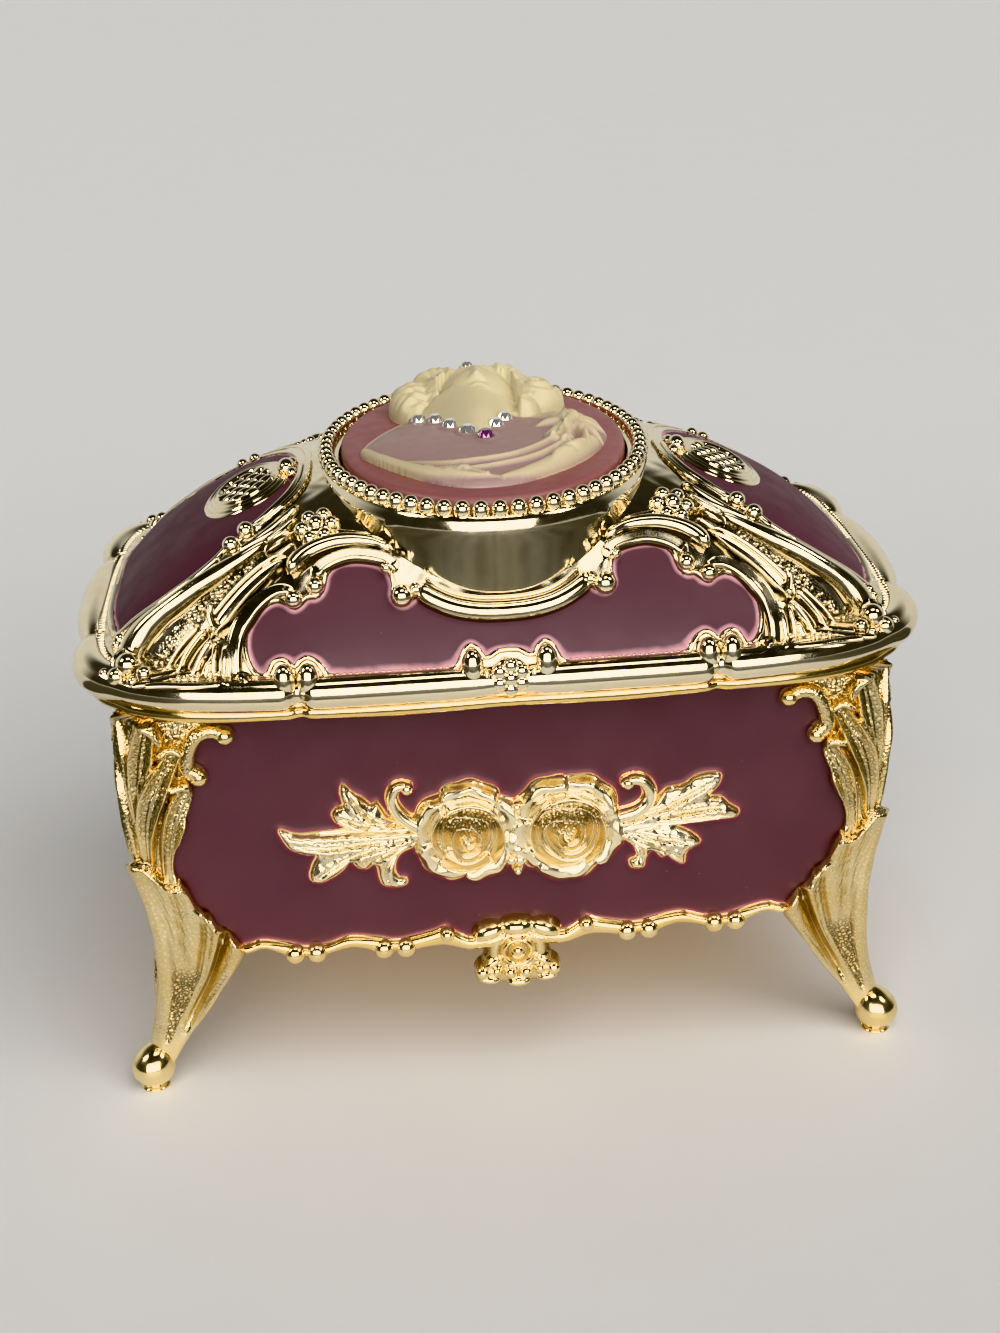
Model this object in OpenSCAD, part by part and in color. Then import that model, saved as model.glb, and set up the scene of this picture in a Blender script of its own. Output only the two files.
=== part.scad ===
// Oval-cameo jewelry music box on four cabriole legs.
// Frame: X to the right, Y to the back, Z up, floor at z = 0, centred in plan. Millimetres.

/* [Case] */
// Outer width of the case walls
case_w = 76; // [75:0.5:77]
// Outer depth of the case walls
case_d = 47; // [46.5:0.5:48]
// Height of the top edge of the case walls
case_top = 43.9; // [43.7:0.1:43.9]
// Height of the lower edge of the case walls
case_low = 15.4; // [14.5:0.1:15.5]
// Wall thickness of the casting
wall = 1.7; // [1.5:0.1:1.8]
// Leg of the chamfer that seats each corner leg
corner = 7; // [6:0.5:7.5]
// Lower tip of the pendant under the front and back apron
pendant_low = 9.2; // [8.5:0.1:11]

/* [Legs] */
// Foot centre to the left and right of the middle
foot_x = 39.4; // [38.5:0.1:40]
// Foot centre in front of and behind the middle
foot_y = 22.6; // [22:0.1:23.2]
// Radius of the ball foot
foot_r = 2.4; // [2.2:0.1:2.6]

/* [Lid] */
// Half width of the lid over the rim moulding
rim_a = 43.9; // [43.5:0.1:44.2]
// Half depth of the lid over the rim moulding
rim_b = 28.4; // [28.2:0.1:28.8]
// Squareness of the rim outline
rim_n = 4.5; // [3.5:0.5:6]
// Rise of the dome above the rim moulding
dome_h = 14.7; // [14:0.1:15.2]
// Squareness of the dome
dome_n = 3.3; // [3:0.1:4]
// Half width of the oval collar
collar_a = 17.7; // [17.5:0.1:18]
// Half depth of the oval collar
collar_b = 22.6; // [22.4:0.1:22.8]
// Height of the top of the collar
collar_top = 63.4; // [63:0.1:64]

/* [Cameo] */
// Half width of the oval cameo plate
cameo_a = 15; // [14.6:0.1:15.1]
// Half depth of the oval cameo plate
cameo_b = 20; // [19.6:0.1:20.1]

/* [Hinge] */
// Distance of the hinge axis behind the middle
hinge_y = 25.9; // [25.8:0.1:26]
// Height of the hinge axis
hinge_z = 42.5; // [42.4:0.1:42.5]
// Radius of the hinge pin
pin_r = 0.8; // [0.7:0.05:0.85]

/* [Movement] */
// Teeth on the face of the spring barrel
barrel_teeth = 40; // [40:20:40]
// Teeth of the cylinder pinion
pinion_teeth = 20; // [20:20:20]
// Teeth of the cylinder wheel
wheel_teeth = 48; // [48:12:48]
// Teeth of the idler pinion
idler_teeth = 12; // [12:12:12]
// Teeth of the worm wheel
worm_teeth = 16; // [16:16:16]
// Radius of the pinned cylinder
drum_r = 5.5; // [5.3:0.1:5.5]

/* [Hidden] */
$fn = 64;

gold = [0.86, 0.70, 0.36];
steel = [0.70, 0.71, 0.73];
brass = [0.78, 0.62, 0.30];
bx = case_w / 2;
by = case_d / 2;
ix = bx - wall;
iy = by - wall;
boss_x = 31.2;
boss_y = 16.6;
plate_z0 = 16.4;
plate_z1 = 18;

// barrel and cylinder axes
bar_x = 20;
bar_y = 9.5;
mesh_r = 8.5;
face_p = 2 * PI * mesh_r / barrel_teeth;
pin_pr = pinion_teeth * face_p / (2 * PI);
face_z = 26.7;
cyl_x = bar_x;
cyl_z = face_z + pin_pr;
// idler axis
gm = 0.3;
ctr = gm * (wheel_teeth + idler_teeth) / 2;
idl_a = -25;
idl_x = cyl_x + ctr * cos(idl_a);
idl_z = cyl_z + ctr * sin(idl_a);
// worm axis
worm_p = 0.9;
ww_r = worm_teeth * worm_p / (2 * PI);
worm_r = 1.0;
gov_x = idl_x + ww_r + worm_r;
gov_y = -12;
plg_y = -3.6;
lev_y = -7;
lev_z = 29.3;

// ---- shared shapes ----
function sgn(v) = v < 0 ? -1 : 1;
function se(a, b, n, t) = [a * sgn(cos(t)) * pow(abs(cos(t)), 2 / n), b * sgn(sin(t)) * pow(abs(sin(t)), 2 / n)];
function inv(a) = tan(a) * 180 / PI - a;
function half_a(r, rp, t, pa) = t / (2 * rp) * 180 / PI + inv(pa) - inv(r > rp * cos(pa) ? acos(rp * cos(pa) / r) : 0);

module oval(a, b, n = 72) {
  polygon([for (i = [0:n - 1]) [a * cos(i * 360 / n), b * sin(i * 360 / n)]]);
}

module squircle(a, b, n, k = 72) {
  polygon([for (i = [0:k - 1]) se(a, b, n, (i + 0.5) * 360 / k)]);
}

module chamfered(x, y, c) {
  polygon([[x, -y + c], [x, y - c], [x - c, y], [-x + c, y], [-x, y - c], [-x, -y + c], [-x + c, -y], [x - c, -y]]);
}

// involute spur gear, tooth 0 on the X axis
module gear2d(z, rp, t, ad, de, pa = 20, n = 3) {
  rb = rp * cos(pa);
  rr = rp - de;
  ra = rp + ad;
  r0 = max(rb, rr);
  polygon([for (i = [0:z - 1]) each concat(
    r0 > rr ? [[rr * cos(i * 360 / z - half_a(r0, rp, t, pa)), rr * sin(i * 360 / z - half_a(r0, rp, t, pa))]] : [],
    [for (k = [0:n]) let (r = r0 + (ra - r0) * k / n, a = i * 360 / z - half_a(r, rp, t, pa)) [r * cos(a), r * sin(a)]],
    [for (k = [n:-1:0]) let (r = r0 + (ra - r0) * k / n, a = i * 360 / z + half_a(r, rp, t, pa)) [r * cos(a), r * sin(a)]],
    r0 > rr ? [[rr * cos(i * 360 / z + half_a(r0, rp, t, pa)), rr * sin(i * 360 / z + half_a(r0, rp, t, pa))]] : [])]);
}

// extrude a shape drawn in X-Z from y0 to y1
module along_y(y0, y1) {
  translate([0, y1, 0]) rotate([90, 0, 0]) linear_extrude(y1 - y0) children();
}

module box(x0, x1, y0, y1, z0, z1) {
  translate([x0, y0, z0]) cube([x1 - x0, y1 - y0, z1 - z0]);
}

module rod_y(x, z, r, y0, y1) {
  along_y(y0, y1) translate([x, z]) circle(r);
}

module rod_z(x, y, r, z0, z1) {
  translate([x, y, z0]) cylinder(r = r, h = z1 - z0);
}

module rod_x(y, z, r, x0, x1) {
  translate([x0, y, z]) rotate([0, 90, 0]) cylinder(r = r, h = x1 - x0);
}

// slotted pan-head screw pointing up, under side of the head at z
module screw(x, y, z, r, len, hr, hh) {
  difference() {
    union() {
      rod_z(x, y, r, z - 0.01, z + len);
      rod_z(x, y, hr, z - hh, z);
    }
    box(x - hr - 1, x + hr + 1, y - 0.25, y + 0.25, z - hh - 1, z - hh + 0.5);
  }
}

// ---- case ----
module pendant() {
  along_y(-by - 0.6, -by + wall) polygon([[-7, 16.5], [7, 16.5], [6.2, 14.2], [4.6, 12.6], [4.4, 10.6],
    [2.2, pendant_low + 0.6], [0, pendant_low], [-2.2, pendant_low + 0.6], [-4.4, 10.6], [-4.6, 12.6], [-6.2, 14.2]]);
}

module case_lug(x0, x1) {
  rod_x(hinge_y, hinge_z, 1.35, x0, x1);
  box(x0, x1, by - 0.5, hinge_y, hinge_z - 1.35, hinge_z + 0.6);
}

module case_casting() {
  color(gold) difference() {
    union() {
      difference() {
        translate([0, 0, case_low]) linear_extrude(case_top - case_low) chamfered(bx, by, corner);
        translate([0, 0, case_low - 1]) linear_extrude(case_top - case_low + 2) chamfered(ix, iy, corner);
      }
      pendant();
      rotate([0, 0, 180]) pendant();
      for (x = [-1, 1], y = [-1, 1]) {
        rod_z(x * boss_x, y * boss_y, 2.1, plate_z1 + 0.02, x > 0 ? 19.9 : 20.9);
        translate([x * boss_x, y * boss_y, plate_z1 + 0.02]) rotate([0, 0, y * x * 45 + (x < 0 ? 180 : 0)]) translate([1, -1, 0]) cube([2.6, 2, x > 0 ? 1.8 : 2.8]);
      }
      // ledges under the clear cover
      box(ix - 1.3, ix + 0.5, -4, 4, 37.2, 38.95);
      for (y = [-1, 1]) translate([10, y > 0 ? iy - 1.3 : -iy - 0.5, 37.2]) cube([8, 1.8, 1.75]);
      for (x = [-15.9, -2, 11.9]) case_lug(x, x + 4);
    }
    for (x = [-1, 1], y = [-1, 1]) rod_z(x * boss_x, y * boss_y, 1.02, plate_z1 - 1, x > 0 ? 24 : 20.2);
    rod_x(hinge_y, hinge_z, pin_r + 0.02, -17, 17);
  }
}

module leg() {
  g = 0.05;
  c = corner - g * 1.5;
  plan = [[bx - c, -by - 0.1], [bx - c + 0.4, -by - 0.7], [bx - 1.2, -by - 0.9], [bx + 0.5, -by - 0.4], [bx + 1.1, -by + 1.0],
    [bx + 1.0, -by + 2.4], [bx + 0.7, -by + c - 0.4], [bx + 0.1, -by + c]];
  color(gold) union() {
    translate([0, 0, 15]) linear_extrude(28.3) polygon(plan);
    hull() {
      translate([0, 0, 15]) linear_extrude(1) polygon(plan);
      rod_z(foot_x - 0.9, -foot_y + 0.9, 1.9, 5.6, 6, $fn = 24);
    }
    hull() {
      rod_z(foot_x - 0.9, -foot_y + 0.9, 1.9, 5.6, 6, $fn = 24);
      rod_z(foot_x, -foot_y, 1.9, 3.2, 3.4, $fn = 24);
    }
    intersection() {
      translate([foot_x, -foot_y, 2.15]) sphere(foot_r);
      box(30, 50, -30, -15, 0, 8);
    }
  }
}

module leg_front_right() { leg(); }
module leg_front_left() { mirror([1, 0, 0]) leg(); }
module leg_rear_right() { mirror([0, 1, 0]) leg(); }
module leg_rear_left() { mirror([1, 0, 0]) mirror([0, 1, 0]) leg(); }

// ---- lid ----
// moulding, dome and hollow as one ring of sections: each section is a rounded rectangle
dome_a = rim_a - 3.7;
dome_b = rim_b - 2.0;
dome_z = 48.1;
function dome_at(p) = let (q = min(1, pow(pow(abs(p[0]) / dome_a, dome_n) + pow(abs(p[1]) / dome_b, dome_n), 1 / dome_n)))
  dome_z + dome_h * pow(1 - pow(q, 2.44), 0.79);
function lerp_pt(s, t, a, b, ca, cb) = let (r = se(a, b, rim_n, t), c = [ca * cos(t), cb * sin(t)])
  [r[0] + (c[0] - r[0]) * s, r[1] + (c[1] - r[1]) * s];
function outer_pt(s, t) = let (p = lerp_pt(s, t, dome_a, dome_b, collar_a - 0.8, collar_b - 0.8)) [p[0], p[1], dome_at(p)];
function inner_pt(s, t) = let (p = lerp_pt(s, t, rim_a - 7.3, rim_b - 6.9, collar_a - 1.2, collar_b - 1.4)) [p[0], p[1], max(46.6, dome_at(p) - 1.8)];
function ring_pt(a, b, z, t) = let (p = se(a, b, rim_n, t)) [p[0], p[1], z];
lid_k = 72;
lid_s = [0, 0.04, 0.14, 0.3, 0.5, 0.75, 1];
lid_rows = concat(
  [for (v = [[-6.1, -5.7, 44], [-1.3, -1.0, 44], [-1.2, -0.9, 45.2], [-0.25, -0.2, 45.9], [0, 0, 46.9], [-0.6, -0.4, 48.1], [-1.9, -1.2, 48.8]])
    [for (i = [0:lid_k - 1]) ring_pt(rim_a + v[0], rim_b + v[1], v[2], (i + 0.5) * 360 / lid_k)]],
  [for (s = lid_s) [for (i = [0:lid_k - 1]) outer_pt(s, (i + 0.5) * 360 / lid_k)]],
  [for (j = [len(lid_s) - 1:-1:0]) [for (i = [0:lid_k - 1]) inner_pt(lid_s[j], (i + 0.5) * 360 / lid_k)]],
  [[for (i = [0:lid_k - 1]) ring_pt(rim_a - 7.2, rim_b - 6.8, 46.5, (i + 0.5) * 360 / lid_k)],
   [for (i = [0:lid_k - 1]) ring_pt(rim_a - 6.1, rim_b - 5.7, 46.5, (i + 0.5) * 360 / lid_k)]]);

module lid_ring() {
  m = len(lid_rows);
  polyhedron(points = [for (r = lid_rows) each r],
    faces = [for (j = [0:m - 1], i = [0:lid_k - 1]) let (a = j * lid_k + i, b = j * lid_k + (i + 1) % lid_k, c = ((j + 1) % m) * lid_k + (i + 1) % lid_k, d = ((j + 1) % m) * lid_k + i)
      each [[a, c, b], [a, d, c]]]);
}

module lid_lug(x0, x1) {
  rod_x(hinge_y, hinge_z, 1.35, x0, x1);
  box(x0, x1, hinge_y - 1.3, hinge_y + 1.2, hinge_z, 44.4);
}

module lid_casting() {
  color(gold) difference() {
    union() {
      lid_ring();
      translate([0, 0, 52.6]) linear_extrude(collar_top - 52.6) difference() {
        oval(collar_a, collar_b);
        oval(cameo_a + 0.25, cameo_b + 0.25);
      }
      translate([0, 0, 58.9]) linear_extrude(1.2) oval(cameo_a + 1, cameo_b + 1);
      for (x = [-11.7, 2.2]) lid_lug(x, x + 9.5);
    }
    rod_x(hinge_y, hinge_z, pin_r + 0.05, -17, 17);
  }
}

module cameo_ground() {
  color([0.62, 0.40, 0.42]) translate([0, 0, 60.15]) linear_extrude(3.0) oval(cameo_a, cameo_b);
}

module cap(x, y, z, r, h) {
  intersection() {
    translate([x, y, z + h - r]) sphere(r);
    box(x - r, x + r, y - r, y + r, z, z + h + 1);
  }
}

module cameo_bust() {
  color([0.88, 0.83, 0.70]) difference() {
    union() {
      translate([0, 0, 63.2]) linear_extrude(1.6) polygon([[-12.8, -4], [-11, 0], [-8.2, 4.4], [-4, 6], [5, 5], [8, 3.2], [11.5, 0.5], [12.6, -4], [9.6, -10.5], [4, -16.5], [-4, -16.5], [-9, -12]]);
      cap(0.2, 8.3, 63.2, 7.5, 5.6);
      cap(-0.8, 1.5, 63.2, 5.2, 3.6);
      cap(5.5, 12, 63.2, 4.6, 3.2);
      cap(0, -6, 63.2, 9, 1.9);
    }
    for (p = stone_pts) translate([p[0], p[1], p[2] - 0.3]) cylinder(r = 1.2, h = 8);
  }
}

stone_pts = [[-6.5, 3.4, 64.6], [-4.8, 1.4, 64.7], [-3.4, -1.2, 65.0], [-1.7, -3.7, 64.75], [1.4, -2.0, 64.75], [2.5, 0.4, 65.2], [-0.4, 14.0, 66.0]];
violet_pt = [0, -5.6, 64.55];

module stone(p, r) {
  translate(p) cylinder(r = r, h = 0.5);
  translate([p[0], p[1], p[2] + 0.5]) cylinder(r1 = r, r2 = r * 0.55, h = 0.5);
}

module clear_stones() {
  color([0.92, 0.94, 0.97]) for (i = [0:len(stone_pts) - 1]) stone(stone_pts[i], i == 3 ? 0.95 : i == 6 ? 0.75 : 0.85);
}

module violet_stone() {
  color([0.62, 0.36, 0.62]) translate([0, 0, 0.85]) stone(violet_pt, 0.8);
}

module hinge_pin() {
  color(steel) rod_x(hinge_y, hinge_z, pin_r, -16.4, 16.4);
}

module lid_lining() {
  color([0.42, 0.10, 0.16]) translate([0, 0, 44.5]) linear_extrude(1.95) squircle(rim_a - 6.6, rim_b - 6.2, rim_n);
}

// ---- inside ----
module jewel_tray() {
  x0 = -ix + 0.15;
  x1 = 1.6;
  y1 = iy - 0.15;
  color([0.40, 0.09, 0.15]) difference() {
    translate([0, 0, 21.1]) linear_extrude(21.3) polygon([[x1, -y1], [x1, y1], [x0 + corner, y1], [x0, y1 - corner], [x0, -y1 + corner], [x0 + corner, -y1]]);
    translate([0, 0, 22.2]) linear_extrude(30) polygon([[x1 - 1, -y1 + 1], [x1 - 1, y1 - 1], [x0 + corner + 0.4, y1 - 1], [x0 + 1, y1 - corner - 0.4], [x0 + 1, -y1 + corner + 0.4], [x0 + corner + 0.4, -y1 + 1]]);
    box(x1 - 1.2, x1 + 1, -y1 - 1, y1 + 1, 38.95, 50);
  }
}

module ring_roll(y, x0) {
  color([0.46, 0.11, 0.18]) translate([x0, y, 0]) rotate([90, 0, 90]) linear_extrude(0.3 - x0) union() {
    intersection() {
      translate([0, 27]) circle(6.7);
      translate([-8, 22.3]) square([16, 16]);
    }
    translate([-6.4, 22.3]) square([12.8, 4.7]);
  }
}

module ring_roll_front() { ring_roll(-13.8, -28.4); }
module ring_roll_middle() { ring_roll(0, -34.8); }
module ring_roll_rear() { ring_roll(13.8, -28.4); }

module movement_cover() {
  y1 = iy - 0.15;
  x1 = ix - 0.15;
  color([0.85, 0.90, 0.95, 0.4]) difference() {
    translate([0, 0, 39]) linear_extrude(1.2) polygon([[0.7, -y1], [x1 - corner, -y1], [x1, -y1 + corner], [x1, y1 - corner], [x1 - corner, y1], [0.7, y1]]);
    rod_z(gov_x, plg_y, 1.3, 38, 42);
  }
}

module base_plate() {
  color(brass) difference() {
    translate([0, 0, plate_z0]) linear_extrude(plate_z1 - plate_z0) chamfered(ix - 0.1, iy - 0.1, corner);
    for (x = [-1, 1], y = [-1, 1]) rod_z(x * boss_x, y * boss_y, 1.1, 10, 20);
    for (p = mscrew) rod_z(p[0], p[1], 1.1, 10, 20);
    rod_z(bar_x, bar_y, 2.6, 10, 20);
  }
}

module base_screws() {
  color(steel) for (x = [-1, 1], y = [-1, 1]) screw(x * boss_x, y * boss_y, plate_z0 - 0.01, 1.0, 3.4, 1.9, 1.0);
}

// ---- movement ----
mscrew = [[6, 17], [6, -17.5], [27.5, -8]];

module movement_screws() {
  color(steel) for (p = mscrew) screw(p[0], p[1], plate_z0 - 0.01, 1.0, 3.3, 1.9, 1.0);
}

module bedplate() {
  color([0.74, 0.72, 0.66]) difference() {
    union() {
      translate([0, 0, plate_z1 + 0.02]) linear_extrude(1.98) polygon([[3.2, -20.6], [28.6, -20.6], [28.6, -14.2], [34.6, -14.2], [34.6, 14.2], [28.6, 14.2], [28.6, 20.2], [3.2, 20.2]]);
      box(3.4, 7.9, -17, -2.2, 19.9, cyl_z - 0.42);
      box(cyl_x - 2, cyl_x + 2, -2.1, -0.7, 19.9, cyl_z + 1.9);
      box(cyl_x - 2.4, idl_x + 1.6, -20.4, -19, 19.9, cyl_z + 1.9);
      box(idl_x - 1, idl_x + 1, -10.4, -9.2, 19.9, idl_z + 1.4);
      rod_z(bar_x, bar_y, 3, 19.9, 20.6);
    }
    rod_y(cyl_x, cyl_z, 1.04, -22, 0);
    rod_y(idl_x, idl_z, 0.64, -22, -9);
    rod_z(bar_x, bar_y, 1.55, 15, 22);
    for (p = mscrew) rod_z(p[0], p[1], 1.02, 15, 22);
    for (y = [-5, -14.2]) rod_z(5.6, y, 0.92, cyl_z - 4, cyl_z + 2);
  }
}

module spring_barrel() {
  color(brass) difference() {
    union() {
      rod_z(bar_x, bar_y, 8, 20.8, face_z - 0.3);
      rod_z(bar_x, bar_y, 9.1, face_z - 1.3, face_z - 0.3);
      for (i = [0:barrel_teeth - 1]) translate([bar_x, bar_y, 0]) rotate([0, 0, (i + 0.5) * 360 / barrel_teeth])
        translate([mesh_r - 0.6, 0, 0]) rotate([90, 0, 90]) linear_extrude(1.2)
          polygon([[-0.36, face_z - 0.35], [0.36, face_z - 0.35], [0.14, face_z + 0.28], [-0.14, face_z + 0.28]]);
    }
    rod_z(bar_x, bar_y, 7.2, 21.5, 30);
    rod_z(bar_x, bar_y, 1.55, 20, 30);
  }
}

// flat spiral of ribbon, drawn as arcs of growing radius
module mainspring() {
  n = 84;
  w = 0.16;
  color([0.45, 0.50, 0.58]) translate([bar_x, bar_y, 21.7]) linear_extrude(3.3)
    polygon(concat([for (i = [0:n]) let (r = 2.4 + 4.4 * i / n, a = i * 20) [(r + w) * cos(a), (r + w) * sin(a)]],
      [for (i = [n:-1:0]) let (r = 2.4 + 4.4 * i / n, a = i * 20) [(r - w) * cos(a), (r - w) * sin(a)]]));
}

module barrel_cap() {
  color(brass) difference() {
    rod_z(bar_x, bar_y, 7.15, 25.3, 26.1);
    rod_z(bar_x, bar_y, 1.55, 20, 30);
  }
}

module winding_arbor() {
  color(steel) {
    rod_z(bar_x, bar_y, 1.5, 10.6, 27.2);
  }
}

module winding_key() {
  color(brass) translate([bar_x, bar_y, 0]) difference() {
    union() {
      rod_z(0, 0, 2.3, 8.5, 15.6);
      along_y(-1, 1) union() {
        for (s = [-1, 1]) translate([s * 5.4, 8.0]) circle(4.3);
        translate([-5.4, 5.2]) square([10.8, 5.4]);
      }
    }
    rod_z(0, 0, 1.52, 10.5, 20);
    for (s = [-1, 1]) rod_y(s * 5.6, 8.0, 1.7, -3, 3);
  }
}

module tune_cylinder() {
  color(brass) difference() {
    rod_y(cyl_x, cyl_z, drum_r, -16.6, -2.6);
    rod_y(cyl_x, cyl_z, 1.02, -20, 0);
  }
}

module tune_pins() {
  color([0.86, 0.72, 0.42]) for (i = [0:17], k = [0:3]) let (a = (i * 47 + k * 83 + i * k * 31) % 360)
    translate([cyl_x, -3.25 - i * 0.745, cyl_z]) rotate([0, a, 0]) translate([0, 0, drum_r - 0.3]) cylinder(r = 0.17, h = 0.66);
}

module cylinder_arbor() {
  color(steel) rod_y(cyl_x, cyl_z, 1.0, -20.6, 2.4);
}

module cylinder_pinion() {
  color(brass) along_y(bar_y - mesh_r - 0.6, bar_y - mesh_r + 0.6) translate([cyl_x, cyl_z]) difference() {
    gear2d(pinion_teeth, pin_pr, 0.5, 0.2, 0.4);
    circle(1.02);
  }
}

module cylinder_wheel() {
  color(brass) along_y(-18.4, -17.2) translate([cyl_x, cyl_z]) rotate(idl_a) difference() {
    gear2d(wheel_teeth, gm * wheel_teeth / 2, 0.39, 0.24, 0.36);
    circle(1.02);
  }
}

module comb() {
  color(steel) translate([0, 0, cyl_z - 0.4]) linear_extrude(0.8) difference() {
    union() {
      translate([3.6, -16.85]) square([4.2, 14.1]);
      for (i = [0:17]) translate([7.7, -3.25 - i * 0.745 - 0.26]) square([cyl_x - drum_r - 0.5 - 7.7, 0.52]);
    }
    for (y = [-5, -14.2]) translate([5.6, y]) circle(1.0);
  }
}

module comb_screws() {
  color(brass) for (y = [-5, -14.2]) difference() {
    union() {
      rod_z(5.6, y, 0.9, cyl_z - 3.6, cyl_z + 0.5);
      rod_z(5.6, y, 1.7, cyl_z + 0.42, cyl_z + 1.4);
    }
    box(3, 9, y - 0.25, y + 0.25, cyl_z + 1.0, cyl_z + 3);
  }
}

module idler_arbor() {
  color(steel) rod_y(idl_x, idl_z, 0.6, -20.6, -9.0);
}

module idler_pinion() {
  color(brass) along_y(-18.4, -17.2) translate([idl_x, idl_z]) rotate(idl_a + 180 + 180 / idler_teeth) difference() {
    gear2d(idler_teeth, gm * idler_teeth / 2, 0.39, 0.24, 0.36);
    circle(0.62);
  }
}

module worm_wheel() {
  color(brass) along_y(gov_y - 0.4, gov_y + 0.4) translate([idl_x, idl_z]) difference() {
    gear2d(worm_teeth, ww_r, 0.32, 0.22, 0.34);
    circle(0.62);
  }
}

module governor_frame() {
  color([0.74, 0.72, 0.66]) difference() {
    union() {
      box(gov_x - 1.4, gov_x + 1.6, gov_y - 1.2, gov_y + 1.2, 20.02, 23.4);
      box(gov_x - 1.4, gov_x + 1.6, gov_y - 3.2, gov_y - 1, 20.02, 21.4);
      box(gov_x - 1.0, gov_x + 1.0, -16.9, gov_y - 3.0, 20.02, 35.8);
      box(gov_x - 1.0, gov_x + 1.0, -16.9, gov_y + 1, 34.8, 35.8);
      // fork of the stop lever
      box(gov_x - 1.9, gov_x - 0.9, lev_y - 0.9, lev_y + 0.9, 20.02, lev_z + 0.9);
      box(gov_x + 0.9, gov_x + 1.9, lev_y - 0.9, lev_y + 0.9, 20.02, lev_z + 0.9);
      box(gov_x - 1.9, gov_x + 1.9, gov_y, lev_y + 0.9, 20.02, 21);
    }
    rod_z(gov_x, gov_y, 0.45, 21.6, 40);
    rod_x(lev_y, lev_z, 0.45, gov_x - 4, gov_x + 4);
  }
}

// worm thread: the radius of the cross-section runs round with the rise of the thread
function thread_r(s, t, ro, rr) = let (f = worm_r + (t / 2 - abs(s)) / tan(20)) min(ro, max(rr, f));
worm_z0 = 24.8;
worm_h = 4.6;
worm_a0 = 180 - 360 * (idl_z + worm_p / 2 - worm_z0) / worm_p;

module governor_worm() {
  color(steel) translate([gov_x, gov_y, 0]) {
    translate([0, 0, worm_z0]) rotate(worm_a0) linear_extrude(height = worm_h, twist = -360 * worm_h / worm_p, slices = 60, segments = 20)
      polygon([for (i = [0:19]) let (a = i * 18, s = (a > 180 ? a - 360 : a) * worm_p / 360, r = thread_r(s, 0.32, 1.18, 0.68)) [r * cos(a), r * sin(a)]]);
    rod_z(0, 0, 0.4, 21.7, 35.6);
    rod_z(0, 0, 0.66, 23.7, worm_z0 + 0.1);
    rod_z(0, 0, 0.66, worm_z0 + worm_h - 0.1, 30.1);
  }
}

module governor_fan() {
  color(brass) translate([gov_x, gov_y, 0]) difference() {
    union() {
      rod_z(0, 0, 2.6, 30.2, 30.8);
      rod_z(0, 0, 0.9, 30.2, 34.3);
      box(-3, 3, -0.2, 0.2, 30.7, 34);
    }
    rod_z(0, 0, 0.42, 30, 36);
  }
}

module stop_plunger() {
  color(steel) {
    rod_z(gov_x, plg_y, 1.2, 30.1, 44.0);
    rod_z(gov_x, plg_y, 2.0, 36.6, 37.4);
  }
}

module stop_lever() {
  color(steel) translate([gov_x, 0, 0]) {
    rod_x(lev_y, lev_z, 0.4, -1.95, 1.95);
    difference() {
      union() {
        box(-0.7, 0.7, gov_y + 1.7, plg_y + 1.4, lev_z - 0.3, lev_z + 0.4);
        rod_x(lev_y, lev_z, 0.8, -0.7, 0.7);
      }
    }
    box(-0.6, 0.6, gov_y + 1.7, gov_y + 2.5, lev_z, 30.1);
  }
}

case_casting();
leg_front_left();
leg_front_right();
leg_rear_left();
leg_rear_right();
lid_casting();
cameo_ground();
cameo_bust();
clear_stones();
violet_stone();
hinge_pin();
lid_lining();
jewel_tray();
ring_roll_front();
ring_roll_middle();
ring_roll_rear();
movement_cover();
base_plate();
base_screws();
bedplate();
movement_screws();
spring_barrel();
mainspring();
barrel_cap();
winding_arbor();
winding_key();
tune_cylinder();
tune_pins();
cylinder_arbor();
cylinder_pinion();
cylinder_wheel();
comb();
comb_screws();
idler_arbor();
idler_pinion();
worm_wheel();
governor_frame();
governor_worm();
governor_fan();
stop_plunger();
stop_lever();
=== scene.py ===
"""Jewelry music box with a cameo lid: the looks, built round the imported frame. Lengths are in mm and become metres in build()."""
import math
import bpy
import numpy as np
from mathutils import Matrix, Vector
from mathutils.kdtree import KDTree


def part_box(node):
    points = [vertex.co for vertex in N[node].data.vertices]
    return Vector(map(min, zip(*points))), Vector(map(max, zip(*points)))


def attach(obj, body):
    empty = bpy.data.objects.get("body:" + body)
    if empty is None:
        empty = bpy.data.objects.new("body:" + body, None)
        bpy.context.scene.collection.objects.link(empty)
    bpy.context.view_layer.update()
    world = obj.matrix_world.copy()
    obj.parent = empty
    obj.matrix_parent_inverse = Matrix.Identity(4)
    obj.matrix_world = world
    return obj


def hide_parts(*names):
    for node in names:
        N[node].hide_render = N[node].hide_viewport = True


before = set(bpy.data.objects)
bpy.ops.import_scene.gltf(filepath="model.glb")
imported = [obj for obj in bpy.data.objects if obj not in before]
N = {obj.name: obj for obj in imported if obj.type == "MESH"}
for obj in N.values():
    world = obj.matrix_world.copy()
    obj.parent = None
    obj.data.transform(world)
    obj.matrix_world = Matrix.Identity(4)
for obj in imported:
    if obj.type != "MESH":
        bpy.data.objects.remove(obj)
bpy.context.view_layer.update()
rng = np.random.default_rng(7)

# ------------------------------------------------------------------ geometry helpers


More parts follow.
